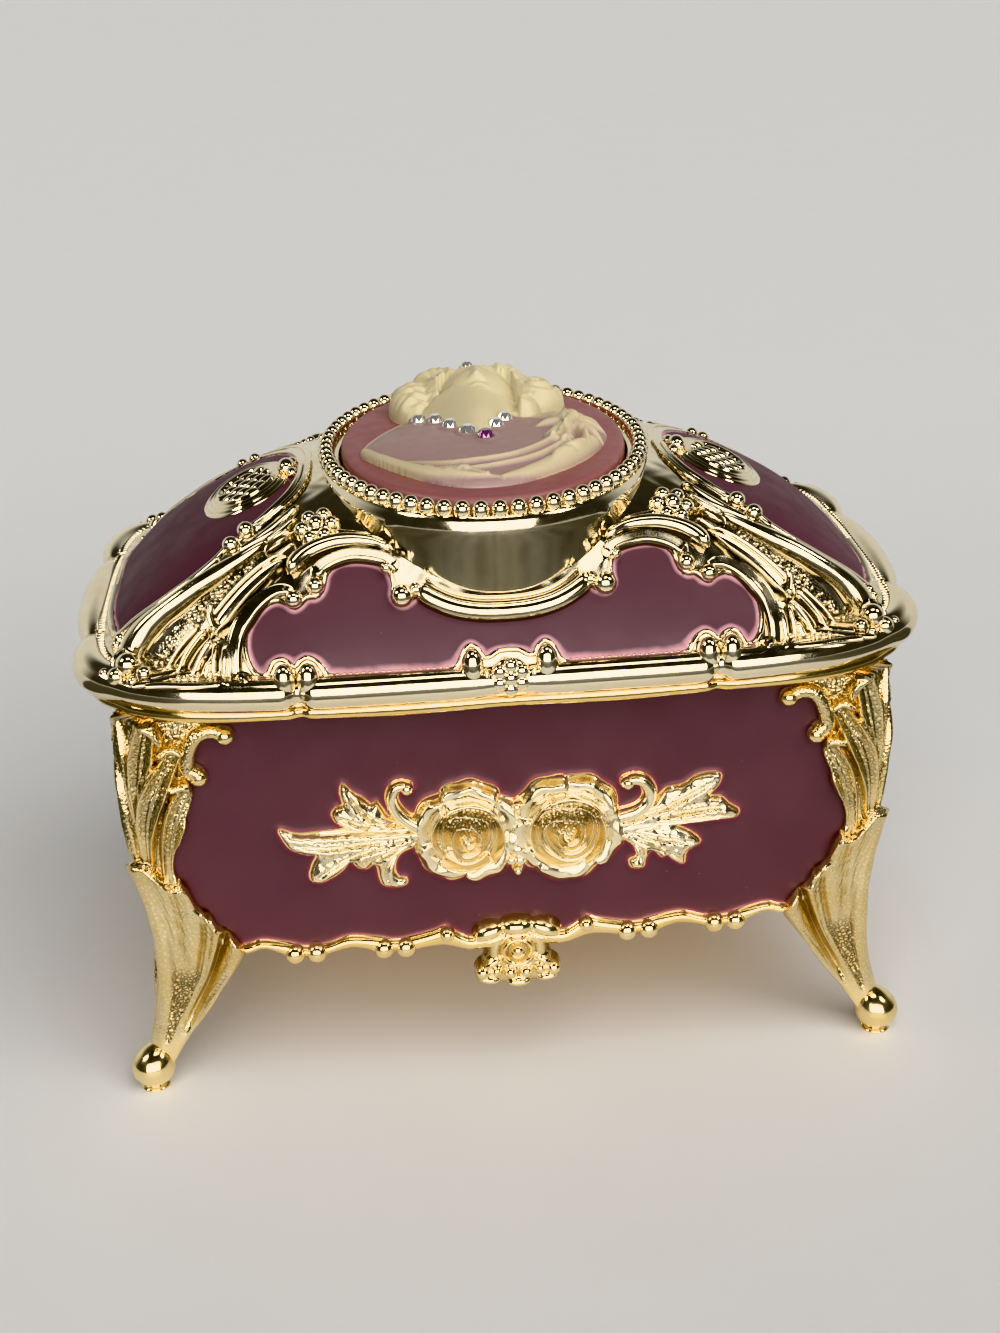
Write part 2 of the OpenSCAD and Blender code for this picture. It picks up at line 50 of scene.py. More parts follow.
def cr(pts, n=10, closed=False):
    """Catmull-Rom curve through pts."""
    P = np.asarray(pts, float)
    Q = np.vstack([P[-1], P, P[0], P[1]]) if closed else np.vstack([2 * P[0] - P[1], P, 2 * P[-1] - P[-2]])
    t = np.linspace(0, 1, n, endpoint=False)[:, None]
    out = []
    for k in range(1, len(Q) - 2):
        a, b, c, d = Q[k - 1], Q[k], Q[k + 1], Q[k + 2]
        out.append(0.5 * (2 * b + (c - a) * t + (2 * a - 5 * b + 4 * c - d) * t**2 + (3 * b - a - 3 * c + d) * t**3))
    if not closed:
        out.append(P[-1:])
    return np.vstack(out)


def even(L, step):
    """The polyline L with points an even step apart."""
    seg = np.linalg.norm(np.diff(L, axis=0), axis=1)
    cum = np.concatenate([[0], np.cumsum(seg)])
    k = max(2, int(round(cum[-1] / step)) + 1)
    s = np.linspace(0, cum[-1], k)
    return np.stack([np.interp(s, cum, L[:, i]) for i in range(L.shape[1])], -1)


def near(P, L, R):
    """For the points of P near polyline L: their index, distance, and place along it from 0 to 1."""
    idx = np.nonzero(np.all((P > L.min(0) - R) & (P < L.max(0) + R), 1))[0]
    Q = P[idx]
    A, D = L[:-1], np.diff(L, axis=0)
    dd = (D * D).sum(1) + 1e-12
    cum = np.concatenate([[0], np.cumsum(np.sqrt(dd))])
    best, tt = np.full(len(Q), 1e9), np.zeros(len(Q))
    for k in range(len(A)):
        u = np.clip((Q - A[k]) @ D[k] / dd[k], 0, 1)
        d = np.linalg.norm(Q - (A[k] + u[:, None] * D[k]), axis=1)
        m = d < best
        best[m] = d[m]
        tt[m] = (cum[k] + u[m] * math.sqrt(dd[k])) / cum[-1]
    return idx, best, tt


def inside(P, poly):
    """Even-odd test of 2-D points in a polygon."""
    x, y = P[:, 0], P[:, 1]
    r = np.zeros(len(P), bool)
    a = poly
    b = np.roll(poly, -1, axis=0)
    for (x0, y0), (x1, y1) in zip(a, b):
        if y0 == y1:
            continue
        m = (y0 > y) != (y1 > y)
        r[m] ^= x[m] < (x1 - x0) * (y[m] - y0) / (y1 - y0) + x0
    return r


def table(t, pairs):
    p = np.asarray(pairs, float)
    return np.interp(t, p[:, 0], p[:, 1])


def sstep(a, b, x):
    t = np.clip((x - a) / (b - a), 0, 1)
    return t * t * (3 - 2 * t)


def grid_faces(nu, nv, wrap=False):
    I, J = np.meshgrid(np.arange(nu if wrap else nu - 1), np.arange(nv - 1))
    a, b = J * nu + I, J * nu + (I + 1) % nu
    c, d = (J + 1) * nu + (I + 1) % nu, (J + 1) * nu + I
    return np.stack([a, b, c, d], -1).reshape(-1, 4)


class Part:
    """Vertices, faces and per-vertex values of one mesh, put together from pieces."""

    def __init__(self):
        self.V, self.F, self.A, self.n = [], [], {}, 0

    def add(self, V, F, **attrs):
        V = np.asarray(V, float).reshape(-1, 3)
        self.V.append(V)
        for f in F if isinstance(F, list) else [F]:
            if len(f):
                self.F.append(np.asarray(f, int) + self.n)
        for k in set(self.A) | set(attrs):
            have = self.A.setdefault(k, [np.zeros(self.n)] if self.n else [])
            have.append(np.broadcast_to(np.asarray(attrs.get(k, 0.0), float), (len(V),)))
        self.n += len(V)
        return self

    def mapped(self, fn):
        q = Part()
        q.V, q.F, q.A, q.n = [fn(v) for v in self.V], [f.copy() for f in self.F], {k: list(a) for k, a in self.A.items()}, self.n
        return q

    def flip(self):
        self.F = [f[:, ::-1] for f in self.F]
        return self

    def join(self, o):
        at = {k: np.concatenate(v) for k, v in o.A.items() if v}
        return self.add(np.vstack(o.V), o.F, **at)


def facing(part, ref):
    """Turns the faces outward, as seen from a point inside."""
    V = np.vstack(part.V)
    tot = 0.0
    for f in part.F:
        p = V[f]
        nrm = np.cross(p[:, 2] - p[:, 0], p[:, (3 if f.shape[1] > 3 else 1)] - p[:, (1 if f.shape[1] > 3 else 0)])
        tot += (nrm * (p.mean(1) - np.asarray(ref, float))).sum()
    return part.flip() if tot < 0 else part


def build(name, part, mat, body, node=(), smooth=True, angle=None):
    V = np.vstack(part.V) * 0.001
    me = bpy.data.meshes.new(name)
    loops = np.concatenate([f.ravel() for f in part.F])
    sizes = np.concatenate([np.full(len(f), f.shape[1]) for f in part.F])
    me.vertices.add(len(V))
    me.vertices.foreach_set("co", V.astype(np.float32).ravel())
    me.loops.add(len(loops))
    me.loops.foreach_set("vertex_index", loops.astype(np.int32))
    me.polygons.add(len(sizes))
    me.polygons.foreach_set("loop_start", np.concatenate([[0], np.cumsum(sizes)[:-1]]).astype(np.int32))
    me.polygons.foreach_set("use_smooth", np.full(len(sizes), bool(smooth)))
    me.update(calc_edges=True)
    me.validate()
    for k, v in part.A.items():
        a = me.attributes.new(k, "FLOAT", "POINT")
        a.data.foreach_set("value", np.concatenate(v).astype(np.float32))
    if angle:
        me.set_sharp_from_angle(angle=math.radians(angle))
    me.materials.append(mat)
    ob = bpy.data.objects.new(name, me)
    bpy.context.scene.collection.objects.link(ob)
    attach(ob, body)
    for n in [node] if isinstance(node, str) else node:
        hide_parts(n)
    return ob


def ball(c, r, nu=12, nv=8):
    """An ellipsoid; r is one radius or three."""
    r = np.broadcast_to(np.asarray(r, float), (3,))
    th = np.linspace(0, math.pi, nv + 1)[1:-1]
    ph = np.arange(nu) * 2 * math.pi / nu
    T, P = np.meshgrid(th, ph, indexing="ij")
    V = np.stack([np.sin(T) * np.cos(P), np.sin(T) * np.sin(P), np.cos(T)], -1).reshape(-1, 3)
    V = np.vstack([V, [[0, 0, 1], [0, 0, -1]]])
    m = len(th)
    q = grid_faces(nu, m, True)[:, ::-1]
    i = np.arange(nu)
    top = np.stack([np.full(nu, m * nu), i, (i + 1) % nu], -1)
    bot = np.stack([np.full(nu, m * nu + 1), (m - 1) * nu + (i + 1) % nu, (m - 1) * nu + i], -1)
    return V * r + np.asarray(c, float), [q, top, bot]


def turned(V, c, axis):
    """Turns an ellipsoid made along Z about its centre c so that its Z lies along axis."""
    z = np.asarray(axis, float)
    z = z / np.linalg.norm(z)
    x = np.cross([0.0, 1.0, 0.001], z)
    x /= np.linalg.norm(x)
    y = np.cross(z, x)
    c = np.asarray(c, float)
    return (V - c) @ np.stack([x, y, z]) + c


def tube(path, rad, nu=12, flat=1.0, up=(0, -1, 0)):
    """A round tube along a path, with closed tapered ends; rad is one radius for each point."""
    P = np.asarray(path, float)
    rad = np.broadcast_to(np.asarray(rad, float), (len(P),))
    T = np.gradient(P, axis=0)
    T /= np.linalg.norm(T, axis=1)[:, None] + 1e-12
    U = np.broadcast_to(np.asarray(up, float), P.shape)
    S = np.cross(T, U)
    S /= np.linalg.norm(S, axis=1)[:, None] + 1e-12
    U = np.cross(S, T)
    a = np.arange(nu) * 2 * math.pi / nu
    V = P[:, None] + rad[:, None, None] * (np.cos(a)[None, :, None] * S[:, None] + flat * np.sin(a)[None, :, None] * U[:, None])
    n = len(P)
    V = np.vstack([V.reshape(-1, 3), P[0] - T[0] * rad[0] * 0.5, P[-1] + T[-1] * rad[-1] * 0.5])
    i = np.arange(nu)
    c0 = np.stack([np.full(nu, n * nu), i, (i + 1) % nu], -1)
    c1 = np.stack([np.full(nu, n * nu + 1), (n - 1) * nu + (i + 1) % nu, (n - 1) * nu + i], -1)
    return V, [grid_faces(nu, n, True)[:, ::-1], c0[:, ::-1], c1[:, ::-1]]


def extrude(poly, z0, z1, axis=2):
    """A prism of a convex or star-shaped outline (counter-clockwise) between two heights of an axis."""
    p = np.asarray(poly, float)
    n = len(p)
    c = p.mean(0)

    def put(q, h):
        out = np.zeros((len(q), 3))
        o = [i for i in range(3) if i != axis]
        out[:, o[0]], out[:, o[1]], out[:, axis] = q[:, 0], q[:, 1], h
        return out

    V = np.vstack([put(p, z0), put(p, z1), put(c[None], z0), put(c[None], z1)])
    i = np.arange(n)
    j = (i + 1) % n
    side = np.stack([i, j, n + j, n + i], -1)
    lo = np.stack([np.full(n, 2 * n), j, i], -1)
    hi = np.stack([np.full(n, 2 * n + 1), n + i, n + j], -1)
    return V, [side, lo, hi]


def plate(sdf, x0, x1, y0, y1, step, height, skirt=0.5):
    """A raised plate over the 2-D region where sdf < 0, on a square grid whose border points are drawn onto the outline.
    Gives x, y, h and faces; the border drops by skirt below 0."""
    xs, ys = np.arange(x0, x1 + step, step), np.arange(y0, y1 + step, step)
    X, Y = np.meshgrid(xs, ys)
    P = np.stack([X.ravel(), Y.ravel()], -1)
    d = sdf(P)
    keep = d < step * 0.75
    e = step * 0.25
    near_b = keep & (d > -step * 0.4)
    for _ in range(3):
        q = P[near_b]
        v = sdf(q)
        g = np.stack([sdf(q + [e, 0]) - sdf(q - [e, 0]), sdf(q + [0, e]) - sdf(q - [0, e])], -1) / (2 * e)
        gg = (g * g).sum(1)[:, None] + 1e-6
        P[near_b] = q - np.clip(v[:, None] * g / gg, -step, step)
    F = grid_faces(len(xs), len(ys))
    F = F[keep[F].all(1)]
    used = np.unique(F)
    new = np.full(len(P), -1)
    new[used] = np.arange(len(used))
    F, P = new[F], P[used]
    h = height(P, -sdf(P))
    ed = np.concatenate([F[:, [0, 1]], F[:, [1, 2]], F[:, [2, 3]], F[:, [3, 0]]])
    key = np.sort(ed, 1)
    _, first, cnt = np.unique(key, axis=0, return_index=True, return_counts=True)
    b = ed[first[cnt == 1]]
    bv = np.unique(b)
    low = np.full(len(P), -1)
    low[bv] = len(P) + np.arange(len(bv))
    V = np.concatenate([np.column_stack([P, h]), np.column_stack([P[bv], np.full(len(bv), -skirt)])])
    S = np.stack([b[:, 1], b[:, 0], low[b[:, 0]], low[b[:, 1]]], -1)
    return V, [F, S]


def se(a, b, n, t):
    c, s = np.cos(t), np.sin(t)
    return np.stack([a * np.sign(c) * np.abs(c) ** (2 / n), b * np.sign(s) * np.abs(s) ** (2 / n)], -1)


def normals(G, wrap=True):
    """Unit normals of a grid of points G[row, column]."""
    du = np.roll(G, -1, 1) - np.roll(G, 1, 1) if wrap else np.gradient(G, axis=1)
    dv = np.gradient(G, axis=0)
    n = np.cross(du, dv)
    return n / (np.linalg.norm(n, axis=-1, keepdims=True) + 1e-12)


# ------------------------------------------------------------------ materials


def shader(name):
    m = bpy.data.materials.new(name)
    m.use_nodes = True
    t = m.node_tree
    t.nodes.clear()
    out = t.nodes.new("ShaderNodeOutputMaterial")
    b = t.nodes.new("ShaderNodeBsdfPrincipled")
    t.links.new(b.outputs[0], out.inputs[0])
    return m, t, b


def noise(t, scale, detail=2.0, stretch=None):
    co = t.nodes.new("ShaderNodeTexCoord")
    n = t.nodes.new("ShaderNodeTexNoise")
    n.inputs["Scale"].default_value = scale
    n.inputs["Detail"].default_value = detail
    src = co.outputs["Object"]
    if stretch:
        mp = t.nodes.new("ShaderNodeMapping")
        mp.inputs["Scale"].default_value = stretch
        t.links.new(src, mp.inputs["Vector"])
        src = mp.outputs[0]
    t.links.new(src, n.inputs["Vector"])
    return n.outputs["Fac"]


def cells(t, scale, feature="F1"):
    co = t.nodes.new("ShaderNodeTexCoord")
    n = t.nodes.new("ShaderNodeTexVoronoi")
    n.feature = feature
    n.inputs["Scale"].default_value = scale
    t.links.new(co.outputs["Object"], n.inputs["Vector"])
    return n.outputs["Distance"]


def remap(t, src, a, b, c, d, smooth=False):
    n = t.nodes.new("ShaderNodeMapRange")
    if smooth:
        n.interpolation_type = "SMOOTHSTEP"
    for i, v in zip(("From Min", "From Max", "To Min", "To Max"), (a, b, c, d)):
        n.inputs[i].default_value = v
    t.links.new(src, n.inputs["Value"])
    return n.outputs["Result"]


def mixc(t, fac, a, b):
    n = t.nodes.new("ShaderNodeMix")
    n.data_type = "RGBA"
    for sock, v in ((n.inputs[0], fac), (n.inputs[6], a), (n.inputs[7], b)):
        if isinstance(v, (tuple, list)):
            sock.default_value = (*v, 1.0)
        elif isinstance(v, (int, float)):
            sock.default_value = v
        else:
            t.links.new(v, sock)
    return n.outputs[2]


def maths(t, op, a, b=None):
    n = t.nodes.new("ShaderNodeMath")
    n.operation = op
    for i, v in enumerate((a, b)):
        if v is None:
            continue
        if isinstance(v, (int, float)):
            n.inputs[i].default_value = v
        else:
            t.links.new(v, n.inputs[i])
    return n.outputs[0]


def bump(t, b, height, strength, dist):
    n = t.nodes.new("ShaderNodeBump")
    n.inputs["Strength"].default_value = strength
    n.inputs["Distance"].default_value = dist
    t.links.new(height, n.inputs["Height"])
    t.links.new(n.outputs[0], b.inputs["Normal"])


def value(t, name):
    n = t.nodes.new("ShaderNodeAttribute")
    n.attribute_name = name
    return n.outputs["Fac"]


def gold(name, light, deep, rough=(0.10, 0.20), grain=0.25, stipple=False, painted_pool=None, field=False, enamel=(0.105, 0.028, 0.040), enamel2=(0.088, 0.022, 0.033), edge=(0.50, 0.11, 0.18), edge_w=0.40, gloss=0.25, satin=(0.36, 0.46)):
    """Bright gold plate. stipple: punched ground where the value 'stip' is 1, with painted shade in the grooves between
    its grains. field: satin enamel where the value 'gold' is below 0, tinted with the edge colour along its border.
    pool: a colour painted in where the value 'deep' is high: painted shade in hollows and creases, and on the rim a
    painted warm reflection.
    """
    m, t, b = shader(name)
    patch = noise(t, 160, 3)
    gcol = mixc(t, remap(t, patch, 0.35, 0.65, 0, 1), light, deep)
    # painted shade (and on the rim a painted warm reflection) mixed in where the value 'deep' is high
    if painted_pool:
        gcol = mixc(t, value(t, "deep"), gcol, painted_pool)
    grough = remap(t, noise(t, 700, 4), 0.3, 0.7, *rough)
    fine = noise(t, 2600, 3)
    h = maths(t, "MULTIPLY", fine, 0.22)
    if stipple:
        s = value(t, "stip")
        pits = remap(t, cells(t, 2300, "DISTANCE_TO_EDGE"), 0.06, 0.30, 0.0, 1.0)
        h = maths(t, "ADD", h, maths(t, "MULTIPLY", maths(t, "MULTIPLY", pits, s), 2.4))
        # painted shade: the grooves between the punched grains are darkened
        dark = maths(t, "MULTIPLY", maths(t, "SUBTRACT", 1.0, pits), maths(t, "MULTIPLY", s, 0.95))
        gcol = mixc(t, dark, gcol, tuple(c * 0.22 for c in deep))
    if field:
        d = value(t, "gold")
        mask = remap(t, d, -0.03, 0.03, 0.0, 1.0)
        cloud = remap(t, noise(t, 120, 3), 0.3, 0.7, 0, 1)
        ecol = mixc(t, cloud, enamel, enamel2)
        # edge colour along the enamel's border: on the lid a painted pink highlight, on the case the enamel's own dark
        # red
        edge_tint_and_glint = remap(t, maths(t, "ADD", d, remap(t, noise(t, 500, 2), 0.3, 0.7, -0.07, 0.07)), -edge_w, -0.03, 0.0, 0.92, True)
        ecol = mixc(t, edge_tint_and_glint, ecol, edge)
        speck = remap(t, cells(t, 420), 0.035, 0.05, 0.5, 0.0)
        ecol = mixc(t, speck, ecol, (0.22, 0.10, 0.12))
        col = mixc(t, mask, ecol, gcol)
        erough = remap(t, noise(t, 320, 3), 0.3, 0.7, *satin)
        rg = t.nodes.new("ShaderNodeMix")
        t.links.new(mask, rg.inputs[0])
        t.links.new(erough, rg.inputs[2])
        t.links.new(grough, rg.inputs[3])
        t.links.new(col, b.inputs["Base Color"])
        t.links.new(rg.outputs[0], b.inputs["Roughness"])
        t.links.new(mask, b.inputs["Metallic"])
        b.inputs["Specular IOR Level"].default_value = gloss
    else:
        t.links.new(gcol, b.inputs["Base Color"])
        t.links.new(grough, b.inputs["Roughness"])
        b.inputs["Metallic"].default_value = 1.0
    bump(t, b, h, grain, 0.00006)
    return m


PALE, PALE2 = (0.93, 0.83, 0.61), (0.90, 0.78, 0.53)
WARM, WARM2 = (0.96, 0.75, 0.36), (0.94, 0.68, 0.27)
# the pool colours are painted shade in hollows and creases; rim_gold's is a painted warm reflection on the rim's lower
# lip. The lid's pink edge colour is a painted highlight on the enamel's border.
M_LID = gold("lid_gold_enamel", PALE, PALE2, (0.09, 0.17), 0.22, stipple=True, field=True, enamel=(0.112, 0.040, 0.055), enamel2=(0.100, 0.035, 0.049), edge=(0.74, 0.37, 0.43), edge_w=0.44, satin=(0.46, 0.58))
M_LIDG = gold("lid_gold", PALE, PALE2, (0.07, 0.15), 0.20, painted_pool=(0.13, 0.10, 0.055))
M_RIM = gold("rim_gold", PALE, PALE2, (0.07, 0.15), 0.20, painted_pool=(0.95, 0.70, 0.30))
M_CASE = gold("case_gold_enamel", WARM, WARM2, (0.12, 0.22), 0.25, field=True, enamel=(0.109, 0.035, 0.047), enamel2=(0.098, 0.031, 0.042), edge=(0.26, 0.030, 0.060), edge_w=0.42, gloss=0.45)
M_CASEG = gold("case_gold", (0.97, 0.87, 0.64), (0.95, 0.80, 0.50), (0.13, 0.26), 0.45, stipple=True, painted_pool=(0.72, 0.47, 0.14))
M_LEG = gold("leg_gold", (0.95, 0.79, 0.46), (0.93, 0.72, 0.35), (0.10, 0.20), 0.45, stipple=True, painted_pool=(0.36, 0.22, 0.07))


def plain_metal(name, c1, c2, rough, scale=400, stretch=(1, 1, 1), strength=0.15):
    m, t, b = shader(name)
    f = noise(t, scale, 4, stretch)
    t.links.new(mixc(t, remap(t, f, 0.3, 0.7, 0, 1), c1, c2), b.inputs["Base Color"])
    t.links.new(remap(t, noise(t, scale * 2.3, 3, stretch), 0.3, 0.7, *rough), b.inputs["Roughness"])
    b.inputs["Metallic"].default_value = 1.0
    bump(t, b, f, strength, 0.00004)
    return m


M_STEEL = plain_metal("bright_steel", (0.62, 0.63, 0.65), (0.50, 0.51, 0.53), (0.16, 0.30), 900, (1, 1, 0.08))
M_SPRING = plain_metal("blued_spring", (0.28, 0.30, 0.36), (0.20, 0.22, 0.28), (0.25, 0.38), 600)
M_ZINC = plain_metal("cast_zinc", (0.56, 0.55, 0.51), (0.44, 0.43, 0.40), (0.34, 0.50), 700, (1, 1, 1), 0.5)
M_BRASS = plain_metal("lacquered_brass", (0.80, 0.58, 0.24), (0.70, 0.48, 0.17), (0.18, 0.30), 500, (1, 1, 0.15))
M_BASE = plain_metal("brushed_base", (0.62, 0.46, 0.22), (0.52, 0.37, 0.16), (0.28, 0.42), 350, (0.04, 1, 1), 0.3)


def resin(name, c1, c2, rough, scale, sss=0.0, thin=None):
    m, t, b = shader(name)
    col = mixc(t, remap(t, noise(t, scale, 4), 0.3, 0.7, 0, 1), c1, c2)
    if thin:
        col = mixc(t, remap(t, value(t, "thin"), 0.0, 1.0, 0.0, 1.0), col, thin)
    t.links.new(col, b.inputs["Base Color"])
    t.links.new(remap(t, noise(t, scale * 4, 3), 0.3, 0.7, rough, rough + 0.12), b.inputs["Roughness"])
    if sss:
        b.inputs["Subsurface Weight"].default_value = sss
        b.inputs["Subsurface Radius"].default_value = (0.9, 0.6, 0.4)
        b.inputs["Subsurface Scale"].default_value = 0.0012
    bump(t, b, noise(t, scale * 12, 3), 0.12, 0.00005)
    return m


M_ROSE = resin("rose_resin", (0.335, 0.126, 0.122), (0.300, 0.108, 0.107), 0.38, 140)
M_IVORY = resin("ivory_resin", (0.74, 0.64, 0.40), (0.67, 0.57, 0.34), 0.40, 160, 0.10, thin=(0.345, 0.198, 0.214))


def gem(name, c1, c2, metal=0.75):
    m, t, b = shader(name)
    t.links.new(mixc(t, remap(t, noise(t, 900, 2), 0.3, 0.7, 0, 1), c1, c2), b.inputs["Base Color"])
    t.links.new(remap(t, noise(t, 1500, 2), 0.3, 0.7, 0.02, 0.06), b.inputs["Roughness"])
    b.inputs["Metallic"].default_value = metal
    b.inputs["Coat Weight"].default_value = 1.0
    b.inputs["Coat Roughness"].default_value = 0.02
    b.inputs["IOR"].default_value = 1.7
    return m


M_PASTE = gem("clear_paste", (0.93, 0.90, 0.85), (0.78, 0.755, 0.71))
M_VIOLET = gem("violet_paste", (0.25, 0.075, 0.20), (0.14, 0.035, 0.11), 0.45)


def velvet(name, c1, c2, tip):
    m, t, b = shader(name)
    nap = noise(t, 160, 3, (1, 1, 0.4))
    pile = noise(t, 4200, 2)
    col = mixc(t, remap(t, nap, 0.3, 0.7, 0, 1), c1, c2)
    col = mixc(t, remap(t, pile, 0.45, 0.8, 0.0, 0.5), col, tip)
    t.links.new(col, b.inputs["Base Color"])
    t.links.new(remap(t, nap, 0.3, 0.7, 0.82, 0.95), b.inputs["Roughness"])
    b.inputs["Sheen Weight"].default_value = 0.6
    b.inputs["Sheen Roughness"].default_value = 0.35
    b.inputs["Sheen Tint"].default_value = (0.95, 0.45, 0.52, 1)
    b.inputs["Specular IOR Level"].default_value = 0.15
    bump(t, b, pile, 0.6, 0.00012)
    return m


M_VELVET = velvet("burgundy_velvet", (0.115, 0.010, 0.022), (0.080, 0.006, 0.015), (0.20, 0.03, 0.05))
M_FLOCK = velvet("burgundy_flock", (0.090, 0.008, 0.018), (0.066, 0.005, 0.012), (0.15, 0.02, 0.04))


def acrylic():
    m, t, b = shader("clear_sheet")
    t.links.new(mixc(t, remap(t, noise(t, 90, 2), 0.3, 0.7, 0, 1), (0.93, 0.96, 0.97), (0.90, 0.94, 0.96)), b.inputs["Base Color"])
    t.links.new(remap(t, noise(t, 600, 3), 0.3, 0.7, 0.03, 0.09), b.inputs["Roughness"])
    b.inputs["Transmission Weight"].default_value = 0.95
    b.inputs["IOR"].default_value = 1.49
    return m


M_CLEAR = acrylic()

# ------------------------------------------------------------------ lid: dome with relief

DA, DB, DN, DZ, DH = 40.2, 26.4, 3.3, 48.1, 14.7


def dome_z(x, y):
    q = ((np.abs(x) / DA) ** DN + (np.abs(y) / DB) ** DN) ** (1 / DN)
    return DZ + DH * np.clip(1 - q**2.44, 0, None) ** 0.79


def front_y(x, z):
    """y of the front slope of the dome at x and z."""
    q = np.clip(1 - np.clip((z - DZ) / DH, 0, 1) ** (1 / 0.79), 0, 1) ** (1 / 2.44)
    return -DB * np.clip(q**DN - (np.abs(x) / DA) ** DN, 1e-6, None) ** (1 / DN)


def on_dome(pts, lift=0.0):
    p = np.asarray(pts, float)
    return np.column_stack([p[:, 0], p[:, 1], dome_z(p[:, 0], p[:, 1]) + lift])


def dome_normal(x, y):
    e = 0.05
    gx = (dome_z(x + e, y) - dome_z(x - e, y)) / (2 * e)
    gy = (dome_z(x, y + e) - dome_z(x, y - e)) / (2 * e)
    n = np.array([-gx, -gy, 1.0])
    return n / np.linalg.norm(n)


NC, NR = 744, 131
tt = np.linspace(0, 2 * math.pi, 40001)
rim_line = se(42.0, 27.3, 4.5, tt)
cum = np.concatenate([[0], np.cumsum(np.linalg.norm(np.diff(rim_line, axis=0), axis=1))])
T = np.interp((np.arange(NC) + 0.5) / NC * cum[-1], cum, tt)
quarter = cum[-1] / 4
pos = (np.arange(NC) + 0.5) / NC * cum[-1]
k4 = np.floor(pos / quarter).astype(int)
fr = pos / quarter - k4
fr = np.where(k4 % 2 == 0, fr, 1 - fr)  # 0 at the side's middle, 1 at the front's middle
g = fr**0.81
ang = np.where(k4 % 2 == 0, g, 2 - g) * math.pi / 2 + (k4 // 2) * math.pi
rim0 = se(DA + 0.35, DB + 0.35, 4.5, T)
col0 = np.stack([16.7 * np.cos(ang), 21.6 * np.sin(ang)], -1)
S = np.linspace(0, 1, NR)[:, None, None]
PL = rim0[None] * (1 - S) + col0[None] * S
G = np.concatenate([PL, dome_z(PL[..., 0], PL[..., 1])[..., None]], -1)
NRM = normals(G)
if NRM[NR // 2, :, 2].mean() < 0:
    NRM = -NRM
flat = G.reshape(-1, 3)
fold = np.column_stack([np.abs(flat[:, 0]), -np.abs(flat[:, 1]), flat[:, 2]])

# front enamel field, right half, as x and z on the front slope
half = [(0, 49.85), (1.1, 49.75), (2.0, 49.3), (2.35, 49.35), (2.7, 49.9), (3.3, 50.35), (3.9, 50.35), (4.5, 49.9), (4.9, 49.2), (5.3, 48.6), (6.2, 48.35), (9, 48.3), (12, 48.3), (16.9, 48.35), (17.7, 48.9), (18.4, 49.65), (19.4, 50.0), (20.3, 49.6), (20.7, 49.2), (21.1, 49.6),
        (22.0, 49.85), (22.9, 49.4), (23.5, 48.5), (24.2, 48.5), (24.8, 49.3), (25.05, 50.4), (24.9, 51.6), (24.1, 52.75), (22.8, 53.7), (21.9, 53.95),
        (21.2, 53.8), (20.5, 53.5), (19.7, 53.7), (19.0, 54.25), (18.2, 54.3), (17.5, 54.7), (17.15, 55.3), (16.8, 56.1), (15.8, 56.7), (14.1, 56.9),
        (12.3, 56.7), (11.2, 56.1), (10.9, 55.3), (11.0, 54.4), (10.4, 53.75), (9.7, 53.6), (8.9, 53.9), (8.1, 54.4), (6.9, 54.0), (4.7, 53.25), (2.4, 52.85), (0, 52.75)]
H2 = cr(half, 4)
cart2 = np.vstack([H2, (H2 * [-1, 1])[::-1]])
cart3 = np.column_stack([H2[:, 0], front_y(H2[:, 0], H2[:, 1]), H2[:, 1]])
side = [(39.8, 0), (39.6, -7.3), (39.0, -11.5), (38.3, -13.6), (36.6, -14.3), (33.7, -14.85), (30.8, -14.7), (28.4, -13.9), (27.2, -13.0), (26.2, -12.5), (25.5, -12.3),
        (25.2, -11.4), (24.6, -11.0), (23.7, -10.6), (22.2, -9.0), (20.9, -7.1), (20.1, -4.6), (19.8, -2.3), (19.7, 0)]
SD2 = cr(side, 4)
side2 = np.vstack([SD2, (SD2 * [1, -1])[::-1]])
side3 = on_dome(SD2)
# distance to the edge of the enamel, above 0 on gold
sd = np.full(len(flat), 3.0)
for line, poly, co in ((cart3, cart2, np.column_stack([fold[:, 0], fold[:, 2]])), (side3, side2, fold[:, :2])):
    idx, d, _ = near(fold, line, 3.0)
    ins = inside(co, poly)
    if line is cart3:
        ins &= fold[:, 1] < -17.5
    near_d = np.full(len(flat), 3.0)
    near_d[idx] = np.minimum(d, 3.0)
    sd = np.where(ins, -near_d, np.minimum(sd, near_d))

h = np.where(sd > 0, 0.30 * sstep(0, 0.25, sd), 0.30 * np.exp(np.clip(sd, -3, 0) / 0.22) * 0.5)
stip = np.zeros(len(flat))


def dome_n(P):
    """Unit normals of the dome at points on it."""
    x, y, z = P[:, 0], P[:, 1], P[:, 2]
    q = np.maximum(((np.abs(x) / DA) ** DN + (np.abs(y) / DB) ** DN) ** (1 / DN), 1e-3)
    k = 2.44 * q ** (1.44 + 1 - DN)
    u = np.clip((z - DZ) / DH, 1e-3, 1)
    n = np.stack([np.sign(x) * k * (np.abs(x) / DA) ** (DN - 1) / DA, np.sign(y) * k * (np.abs(y) / DB) ** (DN - 1) / DB, 1.2658 * u**0.2658 / DH], -1)
    return n / np.linalg.norm(n, axis=1)[:, None]


scrolls = Part()
PROFILE = {
    "round": lambda v: np.sqrt(1 - v**2),
    "double": lambda v: np.sqrt(np.clip(1 - v**6, 0, 1)) * (0.62 + 0.38 * np.abs(np.sin(v * math.pi)) ** 0.8),
    "triple": lambda v: np.sqrt(np.clip(1 - v**4, 0, 1)) * (0.70 + 0.30 * np.cos(v * math.pi * 3) ** 2),
    "trough": lambda v: np.sqrt(np.clip(1 - v**8, 0, 1)) * (0.30 + 0.70 * sstep(0.25, 0.80, np.abs(v))),
    "ridge": lambda v: 0.6 * (1 - np.abs(v)) ** 0.7 + 0.4 * np.sqrt(1 - v**2),
}


